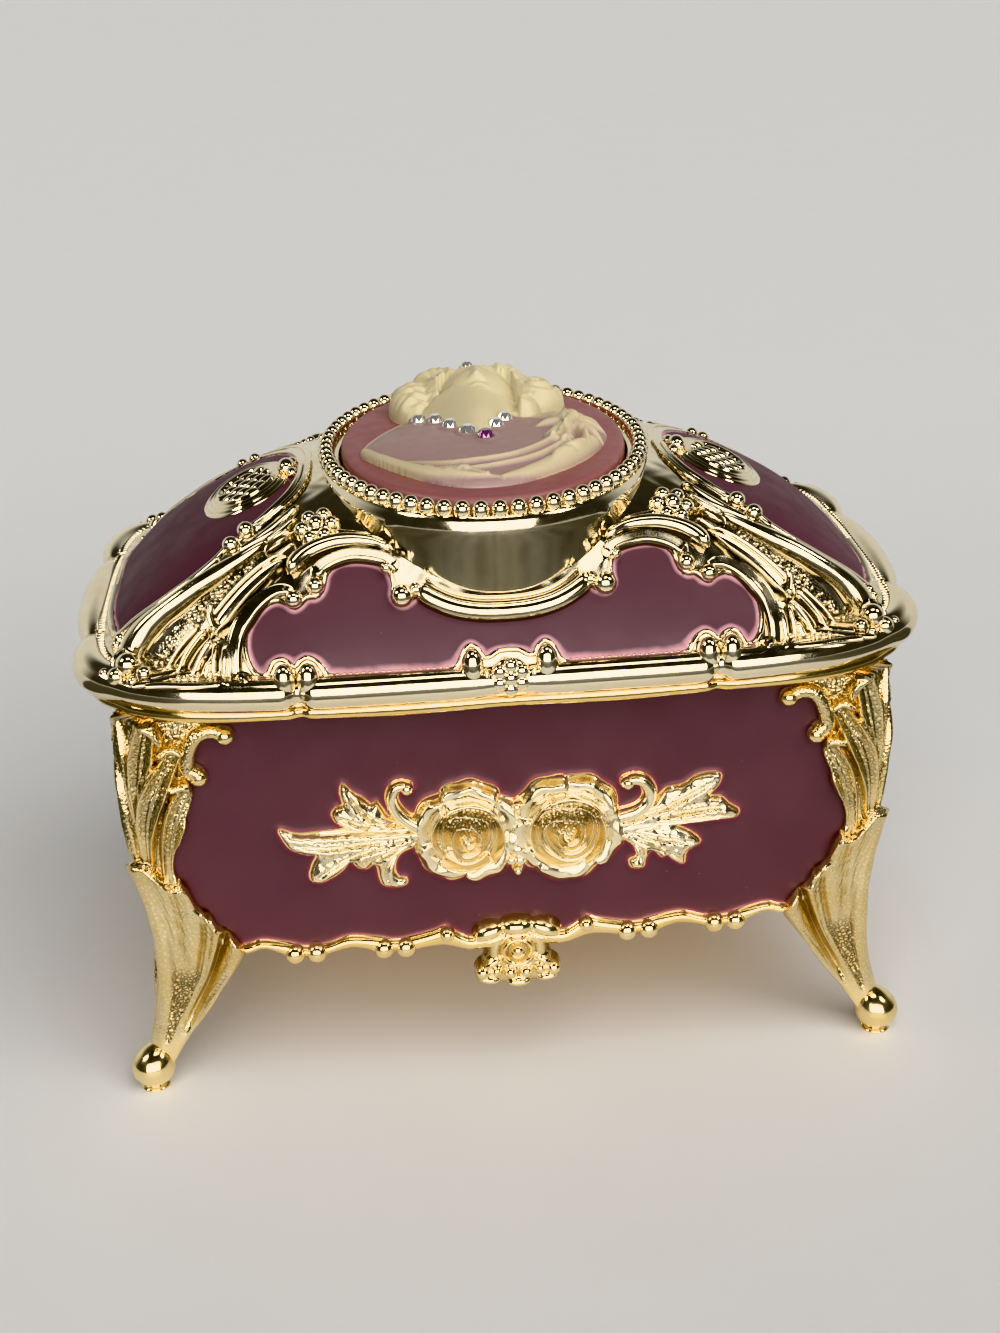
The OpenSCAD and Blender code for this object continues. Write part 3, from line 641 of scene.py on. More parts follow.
def band(pts, w, hh, kind="round", lift=0.22, ends=(True, True), off=0.0, path=None, step=0.26):
    """A cast band swept along pts (x, y) on the dome in each quarter; w and hh are its half width and height along it."""
    P = even(on_dome(cr(pts, 10)) if path is None else path, step)
    n = len(P)
    t = np.linspace(0, 1, n)
    wd = table(t, w) if isinstance(w, list) else np.full(n, float(w))
    ht = table(t, hh) if isinstance(hh, list) else np.full(n, float(hh))
    for on, s_ in zip(ends, (t, 1 - t)):
        if on:
            q = np.sqrt(1 - (1 - np.clip(s_ * n * step / max(wd.max(), 0.4), 0.05, 1)) ** 2)
            wd, ht = wd * q, ht * (0.25 + 0.75 * q)
    Nn = dome_n(P)
    Tn = np.gradient(P, axis=0)
    Tn /= np.linalg.norm(Tn, axis=1)[:, None] + 1e-9
    for ax_ in (0, 1):  # square to the plane where the halves meet
        at = np.abs(P[:, ax_]) < 1e-6
        Tn[at] = np.where(np.arange(3) == ax_, np.sign(Tn[at][:, ax_])[:, None], 0)
    Sn = np.cross(Tn, Nn)
    Sn /= np.linalg.norm(Sn, axis=1)[:, None] + 1e-9
    m = {"round": 11, "ridge": 11}.get(kind, 21)
    v = -np.cos(np.linspace(0, math.pi, m))
    up = np.concatenate([[-9], PROFILE[kind](np.clip(v, -1, 1)), [-9]])
    v = np.concatenate([[-1], v, [1]])
    rise = np.where(up[None] < -1, -0.45, lift + ht[:, None] * np.maximum(up, 0)[None])
    # painted shade on the band's flanks and on its skirt, where it meets the dome
    foot_shade = np.broadcast_to(np.where(up < -1, 1.0, 0.9 * sstep(0.62, 0.98, np.abs(v)))[None], rise.shape).ravel()
    for sy in (1, -1):
        k = 1.0 if sy > 0 else np.where(rise > 0, 0.5, 1.0)
        V = P[:, None] + Sn[:, None] * (wd[:, None] * v[None] + off)[..., None] + Nn[:, None] * (rise * k)[..., None]
        one_ = facing(Part().add(V.reshape(-1, 3), grid_faces(m + 2, n), deep=foot_shade), (10, -8, 30))
        for sx in (1, -1):
            q = one_.mapped(lambda a_: a_ * [sx, sy, 1])
            scrolls.join(q.flip() if sx * sy < 0 else q)



# borders of the enamel fields
band(None, 0.30, 0.42, "round", 0.16, (False, False), 0.30, path=cart3, step=0.22)
band(None, 0.40, 0.50, "round", 0.16, (False, False), -0.40, path=side3, step=0.22)
# by the collar and down the edge of the side field
band([(18.45, 0), (18.5, -2.8), (18.8, -5.4), (19.6, -8.0), (20.9, -10.0), (22.5, -11.6), (23.7, -12.7)], 0.45, [(0, 0.45), (1, 0.7)], "double", ends=(False, True))
band([(19.4, -11.0), (21.2, -12.7), (23.2, -14.0), (25.6, -15.0)], [(0, 0.35), (0.5, 0.75), (1, 0.4)], 0.85)
band([(22.4, -14.6), (25.3, -15.6), (28.8, -16.4), (32.2, -17.0), (35.2, -17.2), (37.3, -18.1), (38.2, -20.2)],
     [(0, 0.45), (0.3, 1.05), (0.6, 1.15), (0.78, 1.6), (0.93, 1.75), (1, 1.3)], [(0, 0.7), (0.4, 1.35), (0.8, 1.7), (1, 1.3)])
band([(27.6, -14.35), (30.5, -15.4), (33.7, -15.6), (36.6, -15.1), (38.4, -14.4)], [(0, 0.25), (0.5, 0.40), (1, 0.3)], 0.6)
# scrolls over the arch of the front field
band([(10.5, -18.5), (12.6, -17.4), (15.5, -16.9), (18.0, -17.2), (19.7, -18.0), (20.5, -19.1)], [(0, 0.6), (0.4, 1.0), (0.85, 1.05), (1, 0.8)], [(0, 1.0), (0.5, 1.3), (1, 1.5)])
band([(10.2, -20.2), (11.3, -19.2), (13.7, -18.5), (15.5, -18.45), (17.2, -18.9), (18.4, -19.7)], 0.80, 0.95, "triple")
band([(20.3, -20.4), (22.0, -20.1), (24.0, -20.7), (25.7, -22.0), (26.35, -23.5), (26.1, -25.0), (25.1, -26.2)], [(0, 0.6), (0.4, 1.0), (1, 0.7)], [(0, 0.9), (0.5, 1.1), (1, 0.8)], "triple")
# grooved leaf between the scrolls
band([(20.8, -17.3), (22.6, -18.1), (25.0, -19.3), (27.1, -20.6), (28.5, -21.6)], [(0, 0.5), (0.25, 1.1), (0.8, 1.15), (1, 0.6)], 1.2, "trough")
band([(27.9, -19.3), (28.15, -20.4), (27.7, -21.8)], 0.5, 1.6)
band([(28.2, -21.9), (29.8, -22.7), (31.8, -23.7), (34.0, -24.6), (36.2, -24.9)], [(0, 0.6), (1, 0.35)], [(0, 1.2), (1, 0.8)], "ridge")
band([(28.7, -20.9), (30.8, -21.7), (33.0, -22.9), (35.6, -24.0)], [(0, 0.55), (1, 0.35)], [(0, 1.2), (1, 0.8)], "ridge")
band([(29.6, -20.3), (31.8, -21.0), (34.2, -21.7), (36.2, -22.0)], [(0, 0.3), (1, 0.3)], 0.65)
band([(26.9, -22.5), (27.15, -23.5), (27.1, -24.4)], [(0, 0.3), (0.5, 0.6), (1, 0.3)], 1.1)
band([(28.5, -22.9), (29.2, -23.5), (29.4, -24.2)], [(0, 0.3), (0.5, 0.6), (1, 0.25)], 1.0)
band([(27.9, -22.0), (28.3, -23.6), (27.9, -25.0), (26.6, -26.0)], [(0, 0.3), (0.6, 0.45), (1, 0.3)], 0.85)
band([(27.6, -26.05), (30.4, -25.8), (33.0, -25.3), (35.0, -25.15)], 0.32, 0.62)
band([(20.2, -14.8), (21.5, -15.5), (22.8, -16.3)], [(0, 0.35), (0.5, 0.75), (1, 0.35)], 1.05, "trough")
band([(16.1, -16.0), (14.3, -16.5), (12.4, -16.9)], [(0, 0.7), (0.6, 0.55), (1, 0.25)], 1.0)
band([(19.9, -16.1), (21.6, -16.9), (23.4, -17.9)], [(0, 0.3), (0.5, 0.48), (1, 0.25)], 0.8)
band([(19.6, -13.1), (21.1, -14.1), (22.6, -15.1)], [(0, 0.3), (0.5, 0.5), (1, 0.25)], 0.9)
# scalloped lip at the foot of the collar, over the front field
lip = cr([(0, 53.15), (2.4, 53.25), (4.7, 53.65), (6.7, 54.4), (8.0, 55.2)], 8)
foot = np.column_stack([lip[:, 0], front_y(lip[:, 0], lip[:, 1]), lip[:, 1]])
band(None, 1.10, 0.95, "round", ends=(False, True), off=0.50, path=foot)
band(None, 0.30, 0.55, "round", ends=(False, True), off=-0.72, path=foot)
build("lid_scrolls", scrolls, M_LIDG, "lid", ())
h = h + 0.03 * np.sin(flat[:, 0] * 2.1 + 1.3 * np.sin(flat[:, 1] * 1.7)) * (sd > 0.9)
gidx, gd_, _ = near(fold, even(on_dome(cr([(23.4, -16.4), (28.0, -18.6), (32.8, -20.4), (35.0, -20.8)], 8)), 0.4), 1.6)
stip[gidx] = np.maximum(stip[gidx], sstep(1.5, 0.9, gd_))
D = (G.reshape(-1, 3) + NRM.reshape(-1, 3) * h[:, None]).reshape(NR, NC, 3)
glow = np.where((sd < 0) & (fold[:, 1] < -17.5), 1 - 0.48 * sstep(50.6, 48.9, flat[:, 2]), 1.0)  # the painted pink highlight on the enamel's edge is widened along the lower border
dome = Part().add(D.reshape(-1, 3), grid_faces(NC, NR, True), gold=sd * glow, stip=stip)
facing(dome, (0, 0, 30))
build("lid_dome", dome, M_LID, "lid", "lid_casting")

# ------------------------------------------------------------------ lid: rim moulding and lip
RA, RB = 43.9, 28.4
rp = se(RA, RB, 4.5, T)
on_front = np.abs(rp[:, 1]) / RB > np.abs(rp[:, 0]) / RA
ax, ay = np.abs(rp[:, 0]), np.abs(rp[:, 1])
# how far the moulding swells in or out along the way round
lobe = np.where(ay < 11.4, np.sqrt(np.clip(1 - (ay / 11.6) ** 2, 0, 1)), np.sqrt(np.clip(1 - ((ay - 18.2) / 6.9) ** 2, 0, 1)))
side_w = sstep(24.6, 22.0, ay) * (ax > 30)
swell = np.where(on_front, 1 - 0.30 * np.exp(-(((ax - 20.6) / 0.9) ** 2)) - 0.30 * np.exp(-((ax / 2.6) ** 2)) - 0.22 * sstep(31, 38, ax), 0.78 + 0 * ax)
swell = swell * (1 - side_w) + (0.55 + 0.62 * lobe) * side_w
outw = side_w * (lobe - 1.0) * 1.35 - 0.5 * (1 - side_w) * np.exp(-(((ax - 20.6) / 0.7) ** 2)) * on_front
rows = []
for a in np.radians(np.linspace(150, -100, 19)):
    r_ = 1.62 * swell
    rows.append((-1.62 + r_ * math.cos(a) + outw, 46.75 + r_ * 1.06 * math.sin(a)))
one = np.ones(NC)
wav = 0.10 * np.cos(ax * 2 * math.pi / 20.6) * on_front
for o, z in ((-1.5, 45.15), (-1.22, 45.05), (-1.2, 44.35), (-1.3, 44.1), (-1.6, 44.02), (-3.5, 44.0), (-5.9, 44.0), (-6.1, 44.1), (-6.15, 46.5)):
    rows.append((o * one + outw * (0.9 if o > -4 else 0), z + (wav if o > -3 and z < 45 else 0 * wav)))
rows.insert(0, (-3.5 * one, 48.05 * one))
rows.insert(0, (-4.4 * one, 47.6 * one))
base = se(RA, RB, 4.5, T)
dirn = np.stack([base[:, 0] ** 3 / RA**4, base[:, 1] ** 3 / RB**4], -1)
dirn /= np.linalg.norm(dirn, axis=1)[:, None]
R3 = np.stack([np.column_stack([base + dirn * o[:, None], np.broadcast_to(z, (NC,))]) for o, z in rows])
# painted warm reflection: the lower lip and underside, below z 45.6, take rim_gold's warm yellow
rim = Part().add(R3.reshape(-1, 3), grid_faces(NC, len(rows), True), deep=sstep(45.6, 45.2, R3[..., 2]).ravel())
facing(rim, (0, 0, 47))
build("lid_rim", rim, M_RIM, "lid", ())

# ------------------------------------------------------------------ lid: collar with its bead row
NE = 360
pe = np.arange(NE) * 2 * math.pi / NE
ca, sa = np.cos(pe), np.sin(pe)
prof = [(0.25, 51.6), (0.16, 52.6), (0.10, 54.0), (0.05, 56.0), (0.0, 58.5), (0.0, 60.0), (-0.04, 60.6), (-0.14, 61.1), (-0.32, 61.55), (-0.6, 61.9), (-0.9, 62.05), (-1.7, 62.05), (-2.2, 62.1), (-2.42, 62.0), (-2.45, 61.4), (-2.45, 59.5)]
# the foot spreads where the dome comes up to it at the sides
foot_z = np.maximum(dome_z(17.7 * ca, 22.6 * sa), 52.6)
crow = []
for k, (o, z) in enumerate(prof):
    if k < 6:
        f = (z - 51.6) / (61.0 - 51.6)
        zz = (foot_z - 1.0) + (61.0 - (foot_z - 1.0)) * f
        oo = o * (0.75 + 0.25 * np.abs(sa)) + 0.55 * np.clip(1 - f * 1.6, 0, 1) * np.abs(ca) ** 2
    else:
        zz, oo = np.full(NE, z), np.full(NE, o)
    crow.append(np.column_stack([(17.7 + oo) * ca, (22.6 + oo) * sa, zz]))
crow = np.stack(crow)
collar = Part().add(crow.reshape(-1, 3), grid_faces(NE, len(prof), True))
facing(collar, (0, 0, 50))
build("lid_collar", collar, M_LIDG, "lid", (), angle=50)

beads = Part()
# bead row, evenly spaced along the oval
ov = np.column_stack([16.55 * np.cos(tt), 21.4 * np.sin(tt)])
cu = np.concatenate([[0], np.cumsum(np.linalg.norm(np.diff(ov, axis=0), axis=1))])
for q in np.arange(66):
    a = np.interp((q + 0.5) / 66 * cu[-1], cu, tt)
    beads.add(*ball((16.6 * math.cos(a), 21.45 * math.sin(a), 62.5), (0.89, 0.89, 0.92), 14, 9))
four = [(sx, sy) for sx in (1, -1) for sy in (1, -1)]


def lid_bead(x, y, r, lift=0.4, stretch=1.0, nu=14, nv=9):
    for sx, sy in four:
        if (x == 0 and sx < 0) or (y == 0 and sy < 0):
            continue
        n = dome_normal(sx * x, sy * y)
        k = 1.0 if sy > 0 else 0.8
        c = np.array([sx * x, sy * y, float(dome_z(sx * x, sy * y))]) + n * lift * (1.0 if sy > 0 else 0.25)
        V, F = ball(c, (r * k, r * k, r * k * stretch), nu, nv)
        beads.add(turned(V, c, n), F)


for x, y, r, lf in ((20.3, -21.15, 0.92, 0.55), (18.15, -20.55, 0.92, 0.6), (9.9, -22.3, 1.15, 0.7), (24.75, -12.15, 0.95, 0.6), (26.25, -13.45, 0.95, 0.6),
                    (36.9, -22.0, 1.25, 0.9), (35.2, -24.0, 0.8, 0.7), (37.8, -15.2, 0.7, 0.6), (38.6, -15.9, 0.6, 0.5),
                    (8.5, -21.9, 0.75, 0.6), (11.2, -20.1, 0.6, 0.9)):
    lid_bead(x, y, r, lf)
# flower boss on each hip
for k in range(7):
    a = k * 2 * math.pi / 6
    x, y = (17.7, -14.7) if k == 6 else (17.7 + 1.45 * math.cos(a), -14.7 + 1.45 * math.sin(a))
    lid_bead(x, y, 0.95 if k == 6 else 0.86, 0.9 if k == 6 else 0.55)
lid_bead(17.7, -14.7, 1.75, 0.0, 0.8, 20, 12)
# grains, loosely in rows
L = even(cr([(24.2, -16.8), (25.8, -17.5), (28.0, -18.6), (30.5, -19.7), (32.8, -20.4), (34.2, -20.7)], 8), 0.66)
for i, q in enumerate(L):
    wd = table(i / (len(L) - 1), [(0, 0.2), (0.3, 0.5), (0.7, 0.75), (1, 0.2)])
    for k in (-1, 1) if wd < 0.42 else (-1, 0, 1):
        if rng.uniform() < 0.86:
            c = q + np.array([0.43, -0.9]) * k * wd * 0.9 + rng.uniform(-0.12, 0.12, 2)
            lid_bead(c[0], c[1], rng.uniform(0.17, 0.27), 0.40, 1.0, 9, 6)
for cx, cy, kk, sp_ in ((28.3, -24.7, 9, 0.8), (31.0, -24.9, 10, 1.0), (24.3, -26.0, 4, 0.5)):
    for _ in range(kk):
        c = np.array([cx, cy]) + rng.uniform(-1, 1, 2) * [sp_, sp_ * 0.6]
        lid_bead(c[0], c[1], rng.uniform(0.18, 0.28), 0.42, 1.0, 9, 6)


def rim_pt(x=None, y=None, o=0.0, z=47.0):
    """A point on the rim's plan at x on the front or y on the side, o further out."""
    if x is not None:
        yy = -RB * (1 - (abs(x) / RA) ** 4.5) ** (1 / 4.5)
        return np.array([x, yy - o, z])
    xx = RA * (1 - (abs(y) / RB) ** 4.5) ** (1 / 4.5)
    return np.array([xx + o, y, z])


def rim_bead(p, r, nu=14, nv=9):
    for sx, sy in four:
        if (p[0] == 0 and sx < 0) or (p[1] == 0 and sy < 0):
            continue
        beads.add(*ball(p * [sx, sy, 1], r, nu, nv))


for x in (19.45, 21.75):
    rim_bead(rim_pt(x=x, o=-1.6, z=48.15), (1.14, 1.25, 1.80), 18, 12)
rim_bead(rim_pt(x=3.6, o=-1.5, z=48.5), (1.18, 1.25, 1.90), 18, 12)
for k in range(7):
    a = k * 2 * math.pi / 6 + 0.5
    rr = 0 if k == 6 else 1.22
    p = rim_pt(x=0.0, o=-0.75, z=47.55) + np.array([rr * math.cos(a), -0.25 if k == 6 else 0.0, rr * math.sin(a)])
    for sy in (1, -1):
        beads.add(*ball(p * [1, sy, 1], (0.80, 0.75, 0.80), 12, 8))
for sy in (1, -1):
    beads.add(*ball(rim_pt(x=0.0, o=-1.1, z=47.6) * [1, sy, 1], (1.95, 0.95, 1.85), 24, 14))
rim_bead(rim_pt(x=2.3, o=-0.9, z=47.1), (0.34, 0.5, 1.4))
for x in np.concatenate([np.arange(5.4, 17.4, 0.62)]):
    rim_bead(rim_pt(x=x, o=-2.0, z=48.33), 0.24, 8, 5)
for x in np.arange(24.6, 33, 0.62):
    rim_bead(rim_pt(x=x, o=-1.9, z=48.3), 0.22, 8, 5)
rim_bead(np.array([38.1, -22.4, 48.0]), 0.95)
rim_bead(np.array([36.4, -23.7, 47.9]), 0.62)
rim_bead(np.array([39.35, -21.3, 47.9]), 0.6)
# fluted inner border of the side lobes
for y in np.arange(0.35, 22.0, 0.68):
    lb = math.sqrt(max(0, 1 - (y / 11.6) ** 2)) if y < 11.4 else math.sqrt(max(0, 1 - ((y - 18.2) / 6.9) ** 2))
    if lb < 0.3:
        continue
    rim_bead(rim_pt(y=-y, o=-3.35 + 0.5 * lb, z=48.05), (0.85, 0.27, 0.42), 8, 6)
build("lid_beads", beads, M_LIDG, "lid", ())

# oval medallions on the side fields
med = Part()
for sx in (1, -1):
    nr, na = 64, 180
    rr = np.linspace(0, 1, nr)
    aa = np.arange(na) * 2 * math.pi / na
    Rr, Aa = np.meshgrid(rr, aa, indexing="ij")
    x = 25.2 + 4.7 * Rr * np.cos(Aa)
    y = 6.7 * Rr * np.sin(Aa)
    z = dome_z(x, y)
    n = dome_normal(25.2, 0.0)
    hh = 0.40 * np.clip(1 - Rr**10, 0, 1) ** 0.5 + np.where(Rr > 0.66, 0.11 * np.cos((Rr - 0.66) / 0.34 * math.pi * 6), 0.08) + 0.20 * np.exp(-(((Rr - 0.66) / 0.05) ** 2))
    row = np.floor((y + 9.0) / 1.2)
    weave = 0.46 * np.abs(np.sin((y + 9.0) / 1.2 * math.pi)) ** 0.6 * np.abs(np.sin(((x - 15.0) / 1.6 + 0.5 * (row % 2)) * math.pi)) ** 0.35
    hh = hh + (weave - 0.40) * sstep(0.64, 0.58, Rr)
    hh = np.where(Rr >= 0.999, -0.3, hh)
    V = np.stack([x + n[0] * hh, y, z + n[2] * hh], -1)
    V[..., 0] *= sx
    med.join(facing(Part().add(V.reshape(-1, 3), grid_faces(na, nr, True)), (sx * 20, 0, 30)))
    c = np.array([20.9, 0, float(dome_z(20.9, 0)) + 0.75])
    med.add(*ball(c * [sx, 1, 1], (1.0, 1.25, 0.9)))
    for y_ in (-1.7, 1.7):
        med.add(*ball(np.array([20.3 * sx, y_, float(dome_z(20.3, 0)) + 0.5]), (0.6, 0.9, 0.5)))
build("lid_medallions", med, M_LIDG, "lid", ())

# hinge lugs of the lid
HY, HZ = 25.9, 42.5


def lug(x0, x1, block, r=1.35, hole=0.82):
    """A barrel round the hinge axis with a block to what carries it; the ring has a hole for the pin."""
    p = Part()
    na = 40
    a = np.arange(na) * 2 * math.pi / na
    ring = lambda rad, x: np.column_stack([np.full(na, x), HY + rad * np.cos(a), HZ + rad * np.sin(a)])
    b_ = 0.18
    seq = [ring(hole, x0), ring(r - b_, x0), ring(r, x0 + b_), ring(r, x1 - b_), ring(r - b_, x1), ring(hole, x1), ring(hole, x0)]
    p.add(np.vstack(seq), grid_faces(na, len(seq), True))
    (y0, z0), (y1, z1), (y2, z2), (y3, z3) = block
    V, F = extrude([(y0, z0), (y1, z1), (y2, z2), (y3, z3)], x0 + 0.1, x1 - 0.1, axis=0)
    p.add(V, F)
    return p


lugs = Part()
for x in (-11.7, 2.2):
    lugs.join(lug(x, x + 9.5, [(HY + 0.1, HZ + 0.85), (HY + 1.3, HZ + 0.1), (HY + 1.3, 44.2), (HY - 0.4, 44.2)]))
build("lid_lugs", lugs, M_LIDG, "lid", (), angle=40)

# ------------------------------------------------------------------ case: walls
CZ = 43.9
BX, BY, IX, IY, CH = 38.0, 23.5, 36.3, 21.8, 7.0


def octagon(x, y, c):
    return np.array([(x, -y + c), (x, y - c), (x - c, y), (-x + c, y), (-x, y - c), (-x, -y + c), (-x + c, -y), (x - c, -y)], float)


walls = Part()
o_in, o_out = octagon(IX, IY, CH), octagon(BX - 0.3, BY - 0.3, CH)
seq = [(o_in, 17.2), (o_in, 43.6), (o_in + np.sign(o_in) * 0.2, CZ), (o_out - np.sign(o_out) * 0.2, CZ), (o_out, 43.6), (o_out, 17.2), (o_in, 17.2)]
walls.add(np.vstack([np.column_stack([p, np.full(8, z)]) for p, z in seq]), grid_faces(8, len(seq), True))
for sx, sy in four:  # screw bosses inside, ledges under the cover
    a = np.arange(28) * 2 * math.pi / 28
    for r0, r1, z0, z1 in ((1.02, 2.1, 18.02, 19.9 if sx > 0 else 20.9),):
        ring = lambda r, z: np.column_stack([sx * 31.2 + r * np.cos(a), sy * 16.6 + r * np.sin(a), np.full(28, z)])
        walls.add(np.vstack([ring(r0, z0), ring(r1, z0), ring(r1, z1), ring(r0, z1), ring(r0, z0)]), grid_faces(28, 5, True)[:, ::-1])
    walls.add(*extrude([(10, sy * IY - (1.3 if sy > 0 else 0.5)), (18, sy * IY - (1.3 if sy > 0 else 0.5)), (18, sy * IY + (0.5 if sy > 0 else 1.3)), (10, sy * IY + (0.5 if sy > 0 else 1.3))], 37.2, 38.95))
walls.add(*extrude([(IX - 1.3, -4), (IX + 0.5, -4), (IX + 0.5, 4), (IX - 1.3, 4)], 37.2, 38.95))
for x in (-15.9, -2.0, 11.9):
    walls.join(lug(x, x + 4, [(BY - 0.6, HZ - 1.3), (HY - 0.3, HZ - 1.3), (HY - 0.9, HZ + 0.6), (BY - 0.6, HZ + 0.6)]))
build("case_walls", walls, M_CASEG, "case", "case_casting", smooth=True, angle=30)


def to_front(v):
    return np.column_stack([v[:, 0], -BY - v[:, 2], v[:, 1]])


def to_back(v):
    return np.column_stack([-v[:, 0], BY + v[:, 2], v[:, 1]])


def to_right(v):
    return np.column_stack([BX + v[:, 2], v[:, 0], v[:, 1]])


def to_left(v):
    return np.column_stack([-BX - v[:, 2], -v[:, 0], v[:, 1]])


LEG_X = [(2.6, 40.0), (5.4, 39.3), (8, 38.6), (11.5, 38.0), (14, 37.75), (18.5, 37.75), (22.7, 38.3), (25.4, 38.9), (30, 38.9), (36, 38.9), (43.4, 38.4)]
LEG_Y = [(2.6, 23.3), (5.4, 23.1), (8, 23.0), (11.5, 23.3), (14, 23.8), (18.5, 24.2), (22.7, 24.4), (25.4, 24.6), (30, 24.4), (36, 24.3), (43.4, 24.0)]
LEG_W = [(2.6, 2.6), (4.7, 3.5), (8, 5.0), (12.3, 6.9), (14.6, 8.3), (15.8, 9.3), (16.6, 9.6), (17.4, 9.2), (18.6, 8.4), (19.3, 7.9), (19.6, 7.0), (20.6, 6.9), (21.6, 6.6), (22.0, 5.5), (23.5, 5.4), (25.0, 5.3), (25.6, 4.7),
         (26.2, 4.3), (27.5, 4.3), (29.0, 4.6), (30.0, 5.1), (31.0, 5.8), (31.8, 6.3), (32.4, 6.0), (33.0, 6.1), (34.5, 6.8), (35.6, 7.1), (36.4, 7.1), (36.9, 6.6), (37.4, 6.6), (38.2, 6.9), (40, 7.6), (43.4, 8.6)]


def panel(half_w, step, lowt, upt, rows_n, on_it, legt):
    """An enamelled wall panel with a scalloped gold apron along its lower edge. Points are across, up, out."""
    xs = np.linspace(-half_w, half_w, int(2 * half_w / step) + 1)
    lo = np.interp(np.abs(xs), *cr(lowt, 8).T)
    up = np.interp(np.abs(xs), *cr(upt, 8).T)
    t1 = np.linspace(0, 1, 16)
    t2 = np.linspace(0, 1, rows_n)[1:]
    zz = np.concatenate([lo + (up - lo) * t1[:, None], up + (43.75 - up) * (t2**1.08)[:, None]])
    X = np.broadcast_to(xs, zz.shape)
    slope = np.abs(np.gradient(up, xs))
    dist = (up - zz) / np.sqrt(1 + slope**2)
    t = np.clip((zz - lo) / (up - lo), 0, 1)
    hh = np.where(dist > 0, 0.15 + 0.85 * np.sqrt(np.clip(1 - (2 * t - 1) ** 2, 0, 1)), 0.10 * np.exp(np.clip(dist, -5, 0) / 0.3))
    inner = table(zz, legt) - table(zz, LEG_W)
    k = sstep(inner + 0.1, inner + 0.9, np.abs(X))
    hh = hh * (1 - k) - 1.2 * k
    tree = KDTree(len(on_it))
    for i, q in enumerate(on_it):
        tree.insert((q[0], q[1], 0.0), i)
    tree.balance()
    touch = np.array([tree.find((a_, b_, 0.0))[2] for a_, b_ in zip(X.ravel(), zz.ravel())]).reshape(X.shape) - 0.14
    hh = hh + np.where(dist < 0, 0.16 * np.exp(-np.clip(touch, 0, 5) / 0.28), 0)
    gd = np.maximum(dist, -touch)
    back_lo = np.stack([X[0], zz[0] + 0.1, np.full(len(xs), -0.5)], -1)
    back_lo2 = np.stack([X[0], zz[0] + 0.2, np.full(len(xs), -1.5)], -1)
    back_hi = np.stack([X[0], np.full(len(xs), 43.75), np.full(len(xs), -1.5)], -1)
    Gp = np.concatenate([back_hi[None], back_lo2[None], back_lo[None], np.stack([X, zz, hh], -1), back_hi[None]])
    gold_d = np.concatenate([np.full((1, len(xs)), 1.0), np.full((1, len(xs)), 1.0), np.full((1, len(xs)), 1.0), gd, np.full((1, len(xs)), -1.0)])
    return Part().add(Gp.reshape(-1, 3), grid_faces(len(xs), len(Gp)), gold=gold_d.ravel())


low_f = [(0, 14.8), (4.4, 14.7), (5.7, 14.9), (7.8, 15.5), (10.0, 15.35), (11.4, 15.0), (12.8, 15.3), (14.4, 15.0), (15.6, 15.7), (17.2, 16.1), (19.2, 15.75), (20.8, 15.2), (22.1, 15.5), (23.4, 15.2), (24.6, 16.0), (26.4, 16.8), (28.6, 16.3), (36, 15.8)]
up_f = [(0, 16.8), (4.5, 16.2), (5.6, 16.5), (6.6, 17.2), (7.5, 17.75), (8.6, 17.35), (11.0, 16.8), (12.8, 16.6), (14.4, 17.0), (17.4, 17.45), (19.8, 16.75), (22.0, 16.6), (23.9, 17.2), (26.6, 17.75), (28.8, 17.3), (36, 17.4)]
low_s = [(0, 14.7), (2.4, 14.8), (3.8, 15.6), (6.2, 15.95), (7.8, 15.2), (9.0, 15.5), (10.2, 15.2), (11.6, 16.3), (13.4, 16.6), (15.4, 16.2), (22, 15.8)]
up_s = [(0, 17.9), (2.2, 17.6), (3.8, 17.3), (6.2, 17.4), (8.0, 16.8), (9.2, 16.7), (10.6, 16.9), (12.4, 17.6), (14.6, 17.4), (22, 17.3)]
# ------------------------------------------------------------------ case: roses, sprays, scrolls, pendant


def leaf(sp, w, H, vein=0.28, lobes=0.0, nl=5, nu=40, nv=15, lift=0.0, bend=0.0):
    """A modelled leaf along spine sp: across, up, out. w is the half width along it (left, right)."""
    L = even(cr(sp, 8), 0.1)
    t = np.linspace(0, 1, nu)
    k = t * (len(L) - 1)
    P = np.stack([np.interp(k, np.arange(len(L)), L[:, i]) for i in (0, 1)], -1)
    Tn = np.gradient(P, axis=0)
    Tn /= np.linalg.norm(Tn, axis=1)[:, None]
    Nn = np.stack([-Tn[:, 1], Tn[:, 0]], -1)
    v = np.linspace(-1, 1, nv)
    wl = table(t, w[0])
    wr = table(t, w[1])
    sc = 1 + lobes * np.abs(np.sin(t * math.pi * nl))
    Wd = np.where(v[None] < 0, (wr * sc)[:, None], (wl * sc)[:, None]) * v[None]
    xy = P[:, None] + Nn[:, None] * Wd[..., None]
    env = np.sqrt(np.clip(1 - np.abs(v) ** 2.6, 0, 1))[None] * (0.45 + 0.55 * np.sin(np.clip(t * 1.15 + 0.1, 0, 1) * math.pi) ** 0.6)[:, None]
    ribs = 0.09 * np.cos((t[:, None] * nl * 1.6 + np.abs(v)[None] * 0.9) * 2 * math.pi) * (np.abs(v) > 0.15)[None] * (1 - np.abs(v))[None] * 2
    hh = lift + H * env - vein * np.exp(-((v / 0.13) ** 2))[None] * (env > 0.2) + ribs * H * env + bend * t[:, None] ** 2
    hh[:, 0] = hh[:, -1] = -0.25
    hh[0, :] = np.minimum(hh[0, :], 0.3)
    hh[-1, :] = -0.1
    V = np.concatenate([xy, hh[..., None]], -1).reshape(-1, 3)
    return V, grid_faces(nv, nu)


